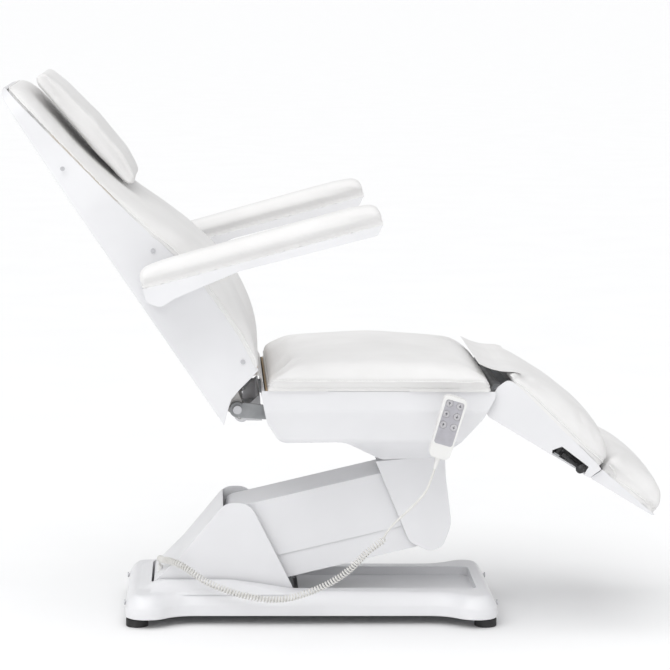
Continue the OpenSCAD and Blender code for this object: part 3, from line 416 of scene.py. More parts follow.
def wood():
    m, nodes, links, shader, at = new_material("birch_plywood")
    lines = noise(nodes, links, stretched(nodes, links, at, (3, 45, 60)), 3, 5, 0.6, 0.6)
    links.new(ramp(nodes, links, lines, [(0.3, (0.50, 0.35, 0.19)), (0.7, (0.68, 0.51, 0.32))]),
              shader.inputs["Base Color"])
    links.new(spread(nodes, links, lines, 0.5, 0.66), shader.inputs["Roughness"])
    bump(nodes, links, [(lines, 0.3, 0.0003)], shader)
    return m


LEATHER = leather()
ABS = plastic("white_abs", (0.77, 0.77, 0.785), (0.82, 0.82, 0.835), 0.34)
STEEL = metal("brushed_steel", (0.62, 0.62, 0.64), 0.34, 0.35)
PLATED = metal("plated_steel", (0.5, 0.49, 0.48), 0.4, 0.2, (300, 300, 300))
COATED = powder_coat()
BLACK = dull("black_plastic", (0.012, 0.012, 0.013), (0.03, 0.03, 0.032), 0.4, 500, 0.2, 0.0001)
RUBBER = dull("black_rubber", (0.014, 0.014, 0.014), (0.03, 0.03, 0.03), 0.62, 700, 0.5, 0.0002)
WOOD = wood()
HANDSET = plastic("handset_case", (0.78, 0.775, 0.76), (0.84, 0.835, 0.82), 0.34)
PANEL = dull("handset_panel", (0.40, 0.39, 0.42), (0.46, 0.455, 0.49), 0.48, 400, 0.15, 0.00006)
KEY = dull("button_film", (0.46, 0.45, 0.47), (0.55, 0.54, 0.56), 0.42, 400, 0.2, 0.00006)
INK = dull("button_ink", (0.05, 0.05, 0.06), (0.09, 0.09, 0.10), 0.5, 300, 0.1, 0.00005)
CORD = dull("cord_jacket", (0.70, 0.69, 0.66), (0.78, 0.77, 0.745), 0.4, 500, 0.12, 0.00006)
PIPING = dull("piping_leatherette", (0.80, 0.795, 0.785), (0.86, 0.853, 0.845), 0.42, 800, 0.35, 0.00012)
THREAD = dull("thread", (0.70, 0.695, 0.685), (0.80, 0.795, 0.785), 0.7, 1200, 0.4, 0.0001)


# ---- mesh tools -------------------------------------------------------------------------------------

def ramp01(x, low, high):
    t = min(1, max(0, (x - low) / (high - low)))
    return t * t * (3 - 2 * t)


def rounded(points, step=7.5):
    """A closed outline of (a, b, radius) points with its corners as arcs."""
    out = []
    for i, q in enumerate(points):
        p, s = points[i - 1], points[(i + 1) % len(points)]
        at = np.array(q[:2], float)
        radius = q[2] if len(q) > 2 else 0
        if not radius:
            out.append(tuple(at))
            continue
        u, v = np.array(p[:2], float) - at, np.array(s[:2], float) - at
        u, v = u / np.hypot(*u), v / np.hypot(*v)
        half = math.acos(max(-1, min(1, u @ v))) / 2
        middle = at + (u + v) / np.hypot(*(u + v)) * radius / math.sin(half)
        start, end = (math.atan2(*((at + w * radius / math.tan(half)) - middle)[::-1]) for w in (u, v))
        sweep = (end - start + 3 * math.pi) % (2 * math.pi) - math.pi
        steps = max(2, math.ceil(abs(math.degrees(sweep)) / step))
        out += [tuple(middle + radius * np.array([math.cos(start + sweep * k / steps),
                                                  math.sin(start + sweep * k / steps)]))
                for k in range(steps + 1)]
    return out


def spline(points, n):
    """A smooth curve through points, with n steps between each two."""
    p = [np.array(q, float) for q in points]
    p = [2 * p[0] - p[1]] + p + [2 * p[-1] - p[-2]]
    out = []
    for i in range(1, len(p) - 2):
        for k in range(n):
            t = k / n
            out.append(0.5 * (2 * p[i] + (p[i + 1] - p[i - 1]) * t
                              + (2 * p[i - 1] - 5 * p[i] + 4 * p[i + 1] - p[i + 2]) * t * t
                              + (3 * p[i] - p[i - 1] - 3 * p[i + 1] + p[i + 2]) * t ** 3))
    return out + [p[-2]]


def even(points, step):
    """The same open line with its points step apart."""
    p = np.array([tuple(q) for q in points], float)
    run = np.concatenate([[0], np.cumsum(np.linalg.norm(np.diff(p, axis=0), axis=1))])
    n = max(1, round(run[-1] / step))
    at = np.linspace(0, run[-1], n + 1)
    return np.stack([np.interp(at, run, p[:, k]) for k in range(p.shape[1])], 1)


def closed_even(points, step):
    return even(list(points) + [points[0]], step)[:-1]


def make(name, verts, faces, material, smooth=40):
    mesh = bpy.data.meshes.new(name)
    bm = bmesh.new()
    made = [bm.verts.new(v) for v in verts]
    for f in faces:
        if len(set(f)) > 2:
            bm.faces.new([made[i] for i in f])
    bmesh.ops.recalc_face_normals(bm, faces=bm.faces)
    bm.to_mesh(mesh)
    bm.free()
    mesh.shade_smooth()
    mesh.set_sharp_from_angle(angle=math.radians(smooth))
    mesh.materials.append(material)
    piece = bpy.data.objects.new(name, mesh)
    SCENE.collection.objects.link(piece)
    return piece


def inward(outline):
    """The outline's inward unit normals."""
    p = np.array(outline, float)
    d = np.roll(p, -1, 0) - np.roll(p, 1, 0)
    d /= np.maximum(np.linalg.norm(d, axis=1), 1e-9)[:, None]
    turn = np.sum(p[:, 0] * np.roll(p[:, 1], -1) - np.roll(p[:, 0], -1) * p[:, 1])
    return np.stack([-d[:, 1], d[:, 0]], 1) * (1 if turn > 0 else -1)


def stations(half, rim, middle):
    """Places across a piece, close together where its sides round over."""
    edge = [half - rim + rim * math.sin(math.radians(a)) for a in range(0, 91, 15)]
    flat = [(half - rim) * (2 * k / middle - 1) for k in range(1, middle)]
    return [-y for y in reversed(edge)] + flat + edge


def share_of_height(across, half, rim, crown, tall):
    """How much of its height a stuffed piece keeps at a place across it."""
    over = max(0, abs(across) - half + rim) / rim
    drop = crown * (across / half) ** 2 + rim * (1 - math.sqrt(max(0, 1 - over * over)))
    return max(0, 1 - drop / tall)


def loft(name, where, outline, half, base, rim, crown, lip, y=0, middle=14):
    """A stuffed solid: a side outline drawn out across the bed, and lower towards its sides.

    half(a) is the half width and base(a) the line that the outline sinks to. The outer rim millimetres
    round over to an upright side of height lip, and the middle stands crown above them."""
    p = np.array(outline, float)
    ground = np.array([base(a) for a, _ in p])
    rise = p[:, 1] - ground
    upright = np.clip(rise, -lip, lip)
    tall = np.abs(rise).max() - lip
    widths = [half(a) for a, _ in p]
    places = [stations(w, rim, middle) for w in widths]
    verts, count, rows = [], len(p), len(places[0])
    for j in range(rows):
        for i in range(count):
            keep = share_of_height(places[i][j], widths[i], rim, crown, tall)
            verts.append(where(p[i, 0], ground[i] + upright[i] + (rise[i] - upright[i]) * keep, places[i][j] + y))
    faces = [(j * count + i, j * count + (i + 1) % count, (j + 1) * count + (i + 1) % count, (j + 1) * count + i)
             for j in range(rows - 1) for i in range(count)]
    end = (rows - 1) * count
    cap = tessellate_polygon([[Vector((*where.back(v), 0)) for v in verts[end:]]])
    faces += [tuple(t) for t in cap] + [tuple(i + end for i in t) for t in cap]
    return make(name, verts, faces, LEATHER)


def tube(name, line, radius, material, sides=10, ends=True):
    """A round tube along points in metres. radius may be a list, one for each point."""
    p = np.array([tuple(q) for q in line], float)
    t = np.gradient(p, axis=0)
    t /= np.maximum(np.linalg.norm(t, axis=1), 1e-12)[:, None]
    side = np.cross(t[0], (0, 0, 1) if abs(t[0][2]) < 0.9 else (0, 1, 0))
    verts = []
    for i in range(len(p)):
        side -= t[i] * (side @ t[i])
        side /= np.linalg.norm(side)
        up = np.cross(t[i], side)
        r = radius[i] if hasattr(radius, "__len__") else radius
        verts += [p[i] + r * (math.cos(a) * side + math.sin(a) * up)
                  for a in (2 * math.pi * k / sides for k in range(sides))]
    faces = [(i * sides + k, i * sides + (k + 1) % sides, (i + 1) * sides + (k + 1) % sides, (i + 1) * sides + k)
             for i in range(len(p) - 1) for k in range(sides)]
    if ends:
        faces += [tuple(range(sides)), tuple(range(len(verts) - sides, len(verts)))]
    return make(name, verts, faces, material, 60)


def ring(name, line, radius, material, sides=8):
    """A tube along a closed line."""
    p = list(line)
    return tube(name, p + [p[0]], radius, material, sides)


def lathe(name, profile, at, way, material, sides=28):
    """profile of (radius, height) in millimetres, turned about way from the point at."""
    way = Vector(way).normalized()
    side = way.orthogonal().normalized()
    up = way.cross(side)
    verts, faces = [], []
    for r, h in profile:
        for k in range(sides):
            a = 2 * math.pi * k / sides
            verts.append(at + way * h * MM + (side * math.cos(a) + up * math.sin(a)) * max(r, 0.01) * MM)
    for i in range(len(profile) - 1):
        for k in range(sides):
            faces.append((i * sides + k, i * sides + (k + 1) % sides,
                          (i + 1) * sides + (k + 1) % sides, (i + 1) * sides + k))
    faces += [tuple(range(sides)), tuple(range(len(verts) - sides, len(verts)))]
    return make(name, verts, faces, material, 35)


def join(name, parts):
    """Several objects as one."""
    first = parts[0]
    with bpy.context.temp_override(active_object=first, selected_editable_objects=parts):
        bpy.ops.object.join()
    first.name = name
    first.data.name = name
    return first


def settle(piece):
    """Applies the piece's modifiers."""
    dg = bpy.context.evaluated_depsgraph_get()
    mesh = bpy.data.meshes.new_from_object(piece.evaluated_get(dg))
    old = piece.data
    piece.modifiers.clear()
    piece.data = mesh
    bpy.data.meshes.remove(old)
    mesh.name = piece.name
    return piece


def carve(piece, cutters, operation="DIFFERENCE"):
    for c in cutters:
        m = piece.modifiers.new("cut", "BOOLEAN")
        m.operation = operation
        m.solver = "EXACT"
        m.object = c
        settle(piece)
        bpy.data.objects.remove(c)
    piece.data.shade_smooth()
    piece.data.set_sharp_from_angle(angle=math.radians(35))
    return piece


def soften(piece, width, angle=32, segments=3, weld=False):
    """Rounds a piece's hard edges without touching its mesh."""
    if weld:
        piece.modifiers.new("weld", "WELD").merge_threshold = 0.00002
        flat = piece.modifiers.new("flat", "DECIMATE")
        flat.decimate_type = "DISSOLVE"
        flat.angle_limit = math.radians(0.6)
    b = piece.modifiers.new("edges", "BEVEL")
    b.width = width * MM
    b.segments = segments
    b.limit_method = "ANGLE"
    b.angle_limit = math.radians(angle)
    b.harden_normals = False
    b.miter_outer = "MITER_ARC"
    w = piece.modifiers.new("normals", "WEIGHTED_NORMAL")
    w.keep_sharp = False
    w.weight = 60
    return piece


# ---- cushions ---------------------------------------------------------------------------------------

PRESSURE = 4.0
SIM_FRAMES = 20


def remeshed(piece, voxel):
    m = piece.modifiers.new("remesh", "REMESH")
    m.mode = "VOXEL"
    m.voxel_size = voxel
    m.use_smooth_shade = True
    settle(piece)
    return piece


def inflate(piece, held, cap, stiffness=12.0):
    """Cloth under pressure. held(point) is True where the cover is fastened. No point moves further than cap."""
    mesh = piece.data
    rest = np.array([v.co for v in mesh.vertices])
    group = piece.vertex_groups.new(name="fastened")
    group.add([i for i, v in enumerate(rest) if held(v)], 1.0, "REPLACE")
    cloth = piece.modifiers.new("cloth", "CLOTH")
    s = cloth.settings
    s.quality = 4
    s.mass = 0.25
    s.tension_stiffness = s.compression_stiffness = s.shear_stiffness = stiffness
    s.bending_stiffness = 0.6
    s.use_pressure = True
    s.uniform_pressure_force = PRESSURE
    s.vertex_group_mass = group.name
    s.effector_weights.gravity = 0.0
    cloth.collision_settings.use_collision = False
    cloth.collision_settings.use_self_collision = False
    cloth.point_cache.frame_start = 1
    cloth.point_cache.frame_end = SIM_FRAMES
    for f in range(1, SIM_FRAMES + 1):
        SCENE.frame_set(f)
    moved = piece.evaluated_get(bpy.context.evaluated_depsgraph_get()).data
    now = np.array([v.co for v in moved.vertices])
    move = now - rest
    length = np.linalg.norm(move, axis=1)
    move *= (cap * np.tanh(length / cap) / np.maximum(length, 1e-9))[:, None]
    piece.modifiers.clear()
    SCENE.frame_set(1)
    mesh.vertices.foreach_set("co", (rest + move).ravel())
    mesh.update()


def relax(piece, times=2, factor=0.5):
    m = piece.modifiers.new("relax", "SMOOTH")
    m.factor = factor
    m.iterations = times
    settle(piece)


def press_seam(piece, line, depth, reach):
    """Draws the surface in along a sewn line."""
    tree = kdtree.KDTree(len(line))
    for i, q in enumerate(line):
        tree.insert(q, i)
    tree.balance()
    mesh = piece.data
    for v in mesh.vertices:
        _, _, far = tree.find(v.co)
        if far < 3 * reach:
            v.co -= v.normal * depth * math.exp(-(far / reach) ** 2)
    mesh.update()


def snapped(piece, line, out=0.0):
    """The line laid on the piece's surface, out metres above it."""
    tree = BVHTree.FromObject(piece, bpy.context.evaluated_depsgraph_get())
    laid = []
    for q in line:
        at, normal, _, _ = tree.find_nearest(Vector(q))
        laid.append(at + normal * out)
    return laid


def stitches(name, line, material=None, gap=0.007, length=0.0042, thick=0.00055):
    """Small thread beads along a line."""
    p = even(line, gap)
    parts, faces = [], []
    for i in range(len(p) - 1):
        d = Vector(p[i + 1] - p[i])
        if d.length < 1e-6:
            continue
        d.normalize()
        side = d.orthogonal().normalized()
        up = d.cross(side)
        at = len(parts)
        c = Vector(p[i])
        for along, r in ((-0.5, 0.25), (-0.25, 1), (0.25, 1), (0.5, 0.25)):
            parts += [c + d * length * along + (side * math.cos(a) + up * math.sin(a)) * thick * r
                      for a in (math.pi / 3 * k for k in range(6))]
        for s in range(3):
            faces += [(at + s * 6 + k, at + s * 6 + (k + 1) % 6, at + s * 6 + 6 + (k + 1) % 6, at + s * 6 + 6 + k)
                      for k in range(6)]
        faces += [tuple(range(at, at + 6)), tuple(range(at + 18, at + 24))]
    return make(name, parts, faces, material or THREAD, 60)


def cushion(name, body, nodes, where, outline, half, base, rim, crown, lip, seams, cap, voxel,
            y=0, fill=0.75, piping=1.9, fastened=True, sink=0, stitched=True):
    """A stuffed cushion with piping.

    seams are lines of (a, b, y) points, cap is how far its cover may swell, and sink how far its
    underside is pressed down over what it is fixed to."""
    swell = 0 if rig.quick() else 0.8 * cap
    tall = max(b - base(a) for a, b in outline)
    thin = [(a, base(a) + (b - base(a)) * (1 - swell / tall) - (sink if b - base(a) < 2 else 0))
            for a, b in closed_even(outline, 6)]
    piece = loft(name, where, thin, lambda a: half(a) - 0.3 * swell, base, rim, crown, lip, y)
    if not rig.quick():
        remeshed(piece, voxel)

        def held(p):
            a, b = where.back(p)
            return fastened and b < base(a) + 3
        inflate(piece, held, cap * MM)
        relax(piece, 2, 0.4)
    made = [piece]
    for k, seam in enumerate(seams):
        line = snapped(piece, even([where(*q) for q in seam], 0.006))
        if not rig.quick():
            press_seam(piece, line, 0.0022, 0.005)
        line = snapped(piece, line, 0.0004)
        made.append(tube(f"{name}_piping_{k + 1}", line, piping * MM, PIPING, 8))
        if stitched:
            above = [q + Vector((0, 0, (piping + 0.6) * MM)) for q in line]
            made.append(stitches(f"{name}_stitches_{k + 1}", snapped(piece, above)))
    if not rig.quick():
        m = piece.modifiers.new("finer", "SUBSURF")
        m.levels = m.render_levels = 1
        settle(piece)
    piece.data.shade_smooth()
    for part in made:
        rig.ride(part, body)
        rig.slot(part, "upholstery")
    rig.replaces(piece, *nodes)
    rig.padded(piece, fill)
    return piece


# ---- cords ------------------------------------------------------------------------------------------

CORD_D = 5 * MM
CURL_D = 16 * MM
WIRE_D = 3.4 * MM
CURL_WIRE_LENGTH = 3.9
TOP_STRETCH = 0.07
LEAD_END = (109, -265, 220)
LEAD_POINTS = [(205, -333, 362), (193, -322, 330), (166, -306, 295), (137, -288, 263), (118, -274, 238), LEAD_END]
LEAD_WAY = (Vector(LEAD_END) - Vector(LEAD_POINTS[-2])).normalized()
CURL_POINTS = [LEAD_END, Vector(LEAD_END) + 12 * LEAD_WAY, (73, -255, 184), (30, -240, 137), (-24, -225, 100),
               (-90, -210, 72), (-146, -203, 66), (-212, -200, 78), (-279, -185, 101), (-335, -150, 130),
               (-366, -112, 134), (-378, -86, 130), (-385, -62, 128), (-386, -45, 123)]


def helix(line, radius, wire):
    """The centreline of a curly cord along a line, whose wire is that long, with its ends on the line."""
    p = even(line, 0.0004)
    run = np.concatenate([[0], np.cumsum(np.linalg.norm(np.diff(p, axis=0), axis=1))])
    turns = round(math.sqrt(wire ** 2 - run[-1] ** 2) / (2 * math.pi * radius))
    t = np.gradient(p, axis=0)
    t /= np.linalg.norm(t, axis=1)[:, None]
    side = np.cross(t[0], (0, 0, 1))
    sides, ups = [], []
    for i in range(len(p)):
        side -= t[i] * (side @ t[i])
        side /= np.linalg.norm(side)
        sides.append(side.copy())
        ups.append(np.cross(t[i], side))
    out = []
    steps = turns * 16
    for k in range(steps + 1):
        s = k / steps
        i = min(len(p) - 1, round(s * (len(p) - 1)))
        a = 2 * math.pi * turns * s
        r = radius * ramp01(min(s, 1 - s) * turns, 0, 1.5)
        out.append(p[i] + r * (math.cos(a) * sides[i] + math.sin(a) * ups[i]))
    return out


def length_of(line):
    p = np.array([tuple(q) for q in line])
    return float(np.linalg.norm(np.diff(p, axis=0), axis=1).sum())


def make_cords():
    relief_low, relief_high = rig.box("strain_relief")
    handset_y = (relief_low.y + relief_high.y) / 2
    relief_tip = Vector((relief_low.x + CORD_D / 2 + 0.8 * MM, handset_y, relief_low.z + 0.8 * MM))
    lead = even(spline([relief_tip] + [Vector(q) * MM for q in LEAD_POINTS], 8), 0.004)
    split = round(TOP_STRETCH / 0.004)
    gland_low, gland_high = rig.box("cord_gland")
    gland_top = Vector(((gland_low.x + gland_high.x) / 2, (gland_low.y + gland_high.y) / 2, gland_high.z))
    way = [Vector(q) * MM for q in CURL_POINTS]
    curl = helix(spline(way + [gland_top], 12), (CURL_D - WIRE_D) / 2, CURL_WIRE_LENGTH)
    top, low = lead[:split + 1], lead[split:]
    pieces = [("cord_top", top, CORD_D / 2, 12), ("cord_lead_visual", low, CORD_D / 2, 12),
              ("cord_curly", curl, WIRE_D / 2, 8)]
    made = [tube(n, line, r, CORD, sides) for n, line, r, sides in pieces]
    junction, upper = Vector(curl[0]), Vector(top[-1])
    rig.blend(made[0], "seat", "handset", upper, top[0])
    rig.blend(made[1], "lift_arm", "seat", junction, upper)
    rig.blend(made[2], "base", "lift_arm", gland_top, junction)
    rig.replaces(made[1], "cord_lead")
    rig.replaces(made[2], "cord_curl")
    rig.cord(made[0], exit=top[0], length=length_of(top), diameter=CORD_D, far_end="object", stiffness="limp",
            lay="hanging", path=top)
    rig.cord(made[1], exit=upper, length=length_of(low), diameter=CORD_D, far_end="object", stiffness="limp",
            lay="hanging", path=low)
    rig.cord(made[2], exit=gland_top, length=length_of(curl), diameter=WIRE_D, far_end="object",
            stiffness="limp", lay="hanging", path=list(reversed(curl)))
    for m in made:
        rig.slot(m, "cord_jacket")


make_cords()


# ---- room -------------------------------------------------------------------------------------------

def area_light(name, at, target, size, power, tint=(1, 1, 1)):
    data = bpy.data.lights.new(name, "AREA")
    data.shape = "RECTANGLE"
    data.size, data.size_y = size
    data.energy = power
    data.color = tint
    lamp = bpy.data.objects.new(name, data)
    lamp.location = at
    lamp.rotation_euler = (Vector(target) - Vector(at)).to_track_quat("-Z", "Y").to_euler()
    SCENE.collection.objects.link(lamp)


def sun(name, way, strength, spread_angle):
    data = bpy.data.lights.new(name, "SUN")
    data.energy = strength
    data.angle = math.radians(spread_angle)
    lamp = bpy.data.objects.new(name, data)
    lamp.rotation_euler = Vector(way).to_track_quat("-Z", "Y").to_euler()
    SCENE.collection.objects.link(lamp)


def make_room():
    world = bpy.data.worlds.new("studio")
    world.use_nodes = True
    background = world.node_tree.nodes["Background"]
    background.inputs["Color"].default_value = (0.985, 0.99, 1, 1)
    background.inputs["Strength"].default_value = 0.63
    SCENE.world = world
    sun("overhead", (0.25, 0.35, -1), 1.35, 70)
    sun("front", (0.3, 1, -0.35), 0.35, 60)
    area_light("glow", (-1.4, -2.6, 3.2), (0, 0, 0.5), (1.6, 1.0), 8)
    m, nodes, links, shader, at = new_material("pale_floor", Roughness=0.7)
    tone = noise(nodes, links, at, 3, 2)
    links.new(ramp(nodes, links, tone, [(0.3, (0.97, 0.97, 0.97)), (0.7, (0.985, 0.985, 0.985))]),
              shader.inputs["Base Color"])
    floor = make("floor", [Vector((x, y, 0)) for x, y in ((-400, -400), (400, -400), (400, 400), (-400, 400))],
                 [(0, 1, 2, 3)], m)
    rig.stage(floor)


make_room()
SCENE.view_settings.view_transform = "Standard"


# ---- base and lift ------------------------------------------------------------------------------------

def tap_screw(name, at, way, body, radius=5.5, slot="bright_steel"):
    """A pan-head screw whose cross recess is painted shade: a black cross of thin plates laid on its head."""
    head = lathe(name, [(0, 0), (radius, 0), (radius, 0.8), (radius * 0.85, 2.0), (radius * 0.4, 2.7), (0, 2.8)],
                 at, way, STEEL, 20)
    way = Vector(way).normalized()
    side = way.orthogonal().normalized()
    up = way.cross(side)
    parts = [head]
    # painted shade: black plates in a cross on the head stand in for the shade inside the steel cross recess
    for d, e in ((side, up), (up, side)):
        c = at + way * 2.75 * MM
        half = [c + d * a * radius * 0.5 * MM + e * b * 0.55 * MM + way * h * MM
                for h in (0, 0.25) for a, b in ((-1, -1), (1, -1), (1, 1), (-1, 1))]
        parts.append(make(name + "_slot", half, [(0, 1, 2, 3), (4, 5, 6, 7), (0, 1, 5, 4), (1, 2, 6, 5),
                                                  (2, 3, 7, 6), (3, 0, 4, 7)], BLACK))
    piece = join(name, parts)
    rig.ride(piece, body)
    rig.slot(piece, slot)
    return piece


def base_outline():
    low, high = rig.box("base_cover_head")[0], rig.box("base_cover_foot")[1]
    x0, x1, half = low.x / MM, high.x / MM, high.y / MM
    waist, pod, start, corner = half - 43, 72, 117, 45
    side = [(x0, -half, corner), (x0 + pod, -half, 60), (x0 + start, -waist, 90), (x1 - start, -waist, 90),
            (x1 - pod, -half, 60), (x1, -half, corner)]
    return rounded(side + [(a, -b, r) for a, b, r in reversed(side)], 6), x0, x1


def stacked(name, outline, levels, material):
    """A solid whose outline draws in with height: levels are (inset, height)."""
    p, n = np.array(outline), inward(outline)
    verts = [Vector((*(p[i] + n[i] * d), z)) * MM for d, z in levels for i in range(len(p))]
    c = len(p)
    faces = [(j * c + i, j * c + (i + 1) % c, (j + 1) * c + (i + 1) % c, (j + 1) * c + i)
             for j in range(len(levels) - 1) for i in range(c)]
    faces += [tuple(range(c)), tuple(range((len(levels) - 1) * c, len(levels) * c))]
    return make(name, verts, faces, material, 35)


def box_mesh(name, x, y, z, material, radius=0):
    """A block from (low, high) pairs in millimetres, with rounded upright corners."""
    outline = rounded([(x[0], y[0], radius), (x[1], y[0], radius), (x[1], y[1], radius), (x[0], y[1], radius)])
    return stacked(name, outline, [(0, z[0]), (0, z[1])], material)


def collar(x0, seam, half, rim_z, rise):
    """The part of the head cover that rises round the tower's foot."""
    low = rounded([(x0 + 22, -half + 53, 30), (seam - 6, -half + 53, 30), (seam - 6, half - 53, 30),
                   (x0 + 22, half - 53, 30)])
    high = rounded([(tower_x0 + 14, -124, 8), (tower_x0 + 170, -124, 8), (tower_x0 + 170, 124, 8),
                    (tower_x0 + 14, 124, 8)])
    shares = [0, 0.08, 0.5, 0.92, 1]
    heights = [rim_z - 5, rim_z - 1, rim_z + rise * 0.5, rim_z + rise - 1.2, rim_z + rise]
    p, q = np.array(low), np.array(high)
    verts = [Vector((*(p[i] * (1 - t) + q[i] * t), z)) * MM for t, z in zip(shares, heights) for i in range(len(p))]
    c = len(p)
    faces = [(j * c + i, j * c + (i + 1) % c, (j + 1) * c + (i + 1) % c, (j + 1) * c + i)
             for j in range(len(shares) - 1) for i in range(c)]
    faces += [tuple(range(c)), tuple(range((len(shares) - 1) * c, len(shares) * c))]
    return make("collar", verts, faces, ABS, 35)


def make_base():
    outline, x0, x1 = base_outline()
    low, top = (v.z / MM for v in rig.box("base_cover_foot"))
    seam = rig.box("base_cover_head")[1].x / MM + 0.3
    skin = [(3, low), (0.8, low + 1), (0, low + 4), (0, low + 22), (1.2, low + 26), (5, low + 33), (10, low + 41),
            (15, low + 47), (21, low + 51), (28, top)]
    collar_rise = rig.box("base_cover_head")[1].z / MM - top
    rim, floor_z, open_x0, open_x1 = 115, 52, tower_x0 - 5, x1 - 42
    for name, cut, ends in (("base_shell_head", (seam + 0.4, 999), (x0, seam)),
                            ("base_shell_foot", (-999, seam - 0.4), (seam, x1))):
        shell = stacked(name, outline, skin, ABS)
        hollow = stacked("hollow", outline, [(4 + d if d > 2 else 4, z - 4 if z > low + 10 else z - 9)
                                             for d, z in skin], ABS)
        carve(hollow, [box_mesh("keep", (open_x0 - 4, open_x1 + 4), (-rim - 4, rim + 4), (floor_z - 3, 99), ABS, 14)])
        carve(shell, [hollow])
        if name == "base_shell_head":
            carve(shell, [collar(x0, seam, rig.box("base_cover_head")[1].y / MM, top, collar_rise)], "UNION")
        carve(shell, [box_mesh("recess", (open_x0, open_x1), (-rim, rim), (floor_z, 99), ABS, 12),
                      box_mesh("opening", (open_x0, seam), (-rim, rim), (10, 99), ABS, 12),
                      box_mesh("other", cut, (-999, 999), (-50, 200), ABS)])
        soften(shell, 1.6, 40, 3)
        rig.ride(shell, "base")
        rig.slot(shell, "white_plastic")
        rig.replaces(shell, name.replace("shell", "cover"))


tower_x0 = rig.box("tower_cover")[0].x / MM
make_base()


def paint(nodes, material, bevel=1.2, angle=32):
    for n in nodes:
        node = frame["nodes"][n]
        if not node.material_slots:
            node.data.materials.append(material)
        for s in node.material_slots:
            s.material = material
        if bevel:
            soften(node, bevel, angle, 3, weld=True)


paint(["tower_cover", "arm_cover", "arm_lower_cover", "yoke_cover", "seat_cover", "seat_tail_cover", "leg_shell",
       "foot_shell", "back_shell", "near_armrest_tray", "far_armrest_tray", "handset_holder"], ABS, 1.6)
paint(["base_frame", "lower_arms", "upper_arms", "seat_frame", "leg_frame"], COATED, 0.8)
paint(["back_frame"], PLATED, 0.8)
paint(["lift_actuator_body", "back_actuator_body", "leg_actuator_body"], COATED, 0.8)
paint(["base_pivot_pins", "seat_pivot_pins", "lift_actuator_rod", "back_actuator_rod", "leg_actuator_rod",
       "foot_rails", "near_armrest_bracket", "far_armrest_bracket", "base_screws", "back_screws"], STEEL, 0.5)
paint(["control_box", "release_lever"], BLACK, 1.0)
paint(["levelling_feet"], RUBBER, 2.0)
paint(["seat_board", "back_board"], WOOD, 0)
paint(["handset_case"], HANDSET, 3.0)
paint(["cord_gland", "strain_relief"], HANDSET, 0.6)
paint(KEYS, KEY, 0.7)


# ---- handset -------------------------------------------------------------------------------------------

def across_block(name, where, outline, y0, y1, material):
    """A side outline of (a, b) points drawn out from y0 to y1 millimetres across the bed."""
    verts = [where(a, b, y) for y in (y0, y1) for a, b in outline]
    c = len(outline)
    faces = [(i, (i + 1) % c, c + (i + 1) % c, c + i) for i in range(c)]
    return make(name, verts, faces + [tuple(range(c)), tuple(range(c, 2 * c))], material, 35)


def make_panel():
    """The grey film panel round the buttons, and a mark on each button."""
    face = case_low.y / MM
    outline = rounded([(-20.5, -38, 6), (20.5, -38, 6), (20.5, 61, 6), (-20.5, 61, 6)])
    panel = across_block("handset_panel", HAND, outline, face - 0.5, face + 0.3, PANEL)
    marks = []
    for n in KEYS:
        low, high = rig.box(n)
        a, b = HAND.back((low + high) / 2)
        hole = [(a + 8.1 * math.cos(t), b + 8.1 * math.sin(t)) for t in np.linspace(0, 2 * math.pi, 33)[:-1]]
        carve(panel, [across_block("hole", HAND, hole, face - 3, face + 3, PANEL)])
        tip = 3.6 if "_up_" in n else -3.6
        shaft = [(a - 0.6, b - tip), (a + 0.6, b - tip), (a + 0.6, b), (a + 3, b), (a, b + tip), (a - 3, b),
                 (a - 0.6, b)]
        marks.append((across_block(n + "_mark", HAND, shaft, low.y / MM - 0.15, low.y / MM + 0.1, INK), n))
    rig.ride(panel, "handset")
    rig.slot(panel, "handset_plastic")
    for mark, body in marks:
        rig.ride(mark, body)
        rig.slot(mark, "black_plastic")


make_panel()


# ---- cushions of the bed --------------------------------------------------------------------------------

def constant(value):
    return lambda a: value


def along_line(points):
    """A function that reads b off a line of (a, b) points."""
    at, heights = zip(*points)
    return lambda a: float(np.interp(a, at, heights))


def with_corners(half, low, high, corner):
    """Half width along a piece from low to high whose plan has rounded corners."""
    def width(a):
        into = min(corner, max(0, corner - min(a - low, high - a)))
        return half - corner + math.sqrt(corner ** 2 - into ** 2)
    return width


def ring_round(low, high, half, corner, height, y=0):
    """A closed line round a cushion, height above its underside."""
    line = [(a, height, b + y) for a, b in rounded([(low, -half, corner), (high, -half, corner),
                                                    (high, half, corner), (low, half, corner)])]
    return line + line[:1]


def make_seat():
    length, half = (seat_high.x - seat_low.x) / MM, seat_high.y / MM
    top = (seat_high.z - seat_low.z) / MM
    line = rounded([(0, 0, 3), (length, 0, 3), (length, top - 44, 30), (length - 45, top - 18, 60),
                    (250, top, 400), (60, top - 16, 60), (0, top - 40, 20)])
    cushion("seat_cushion_cover", "seat", ["seat_cushion"], SEAT, line, with_corners(half, 0, length, 26),
            constant(0), 46, 16, 16, [ring_round(0, length, half, 26, 14)], 8, 0.0065)


BACK_LEN = 870
SEAM = [(58, 94), (143, 103), (273, 102), (384, 85), (437, 67), (490, 55), (550, 43), (647, 24), (732, 7),
        (BACK_LEN - 14, -18)]
CROWN = [(BACK_LEN - 1, -14), (BACK_LEN - 6, 0), (BACK_LEN - 34, 12), (BACK_LEN - 70, 18), (735, 25), (670, 33),
         (600, 49), (520, 74), (450, 106), (387, 129), (356, 138), (300, 152), (233, 159), (190, 158), (157, 153),
         (112, 137), (79, 114)]


def back_half(low_half, top_half, top, bend=560, corner=90):
    """Half width of the backrest, which narrows above its bend to a rounded top."""
    def half(u):
        w = low_half - (low_half - top_half) * ramp01(u, bend - 120, top)
        into = min(corner, max(0, u - (top - corner)))
        return w - corner + math.sqrt(corner ** 2 - into ** 2)
    return half


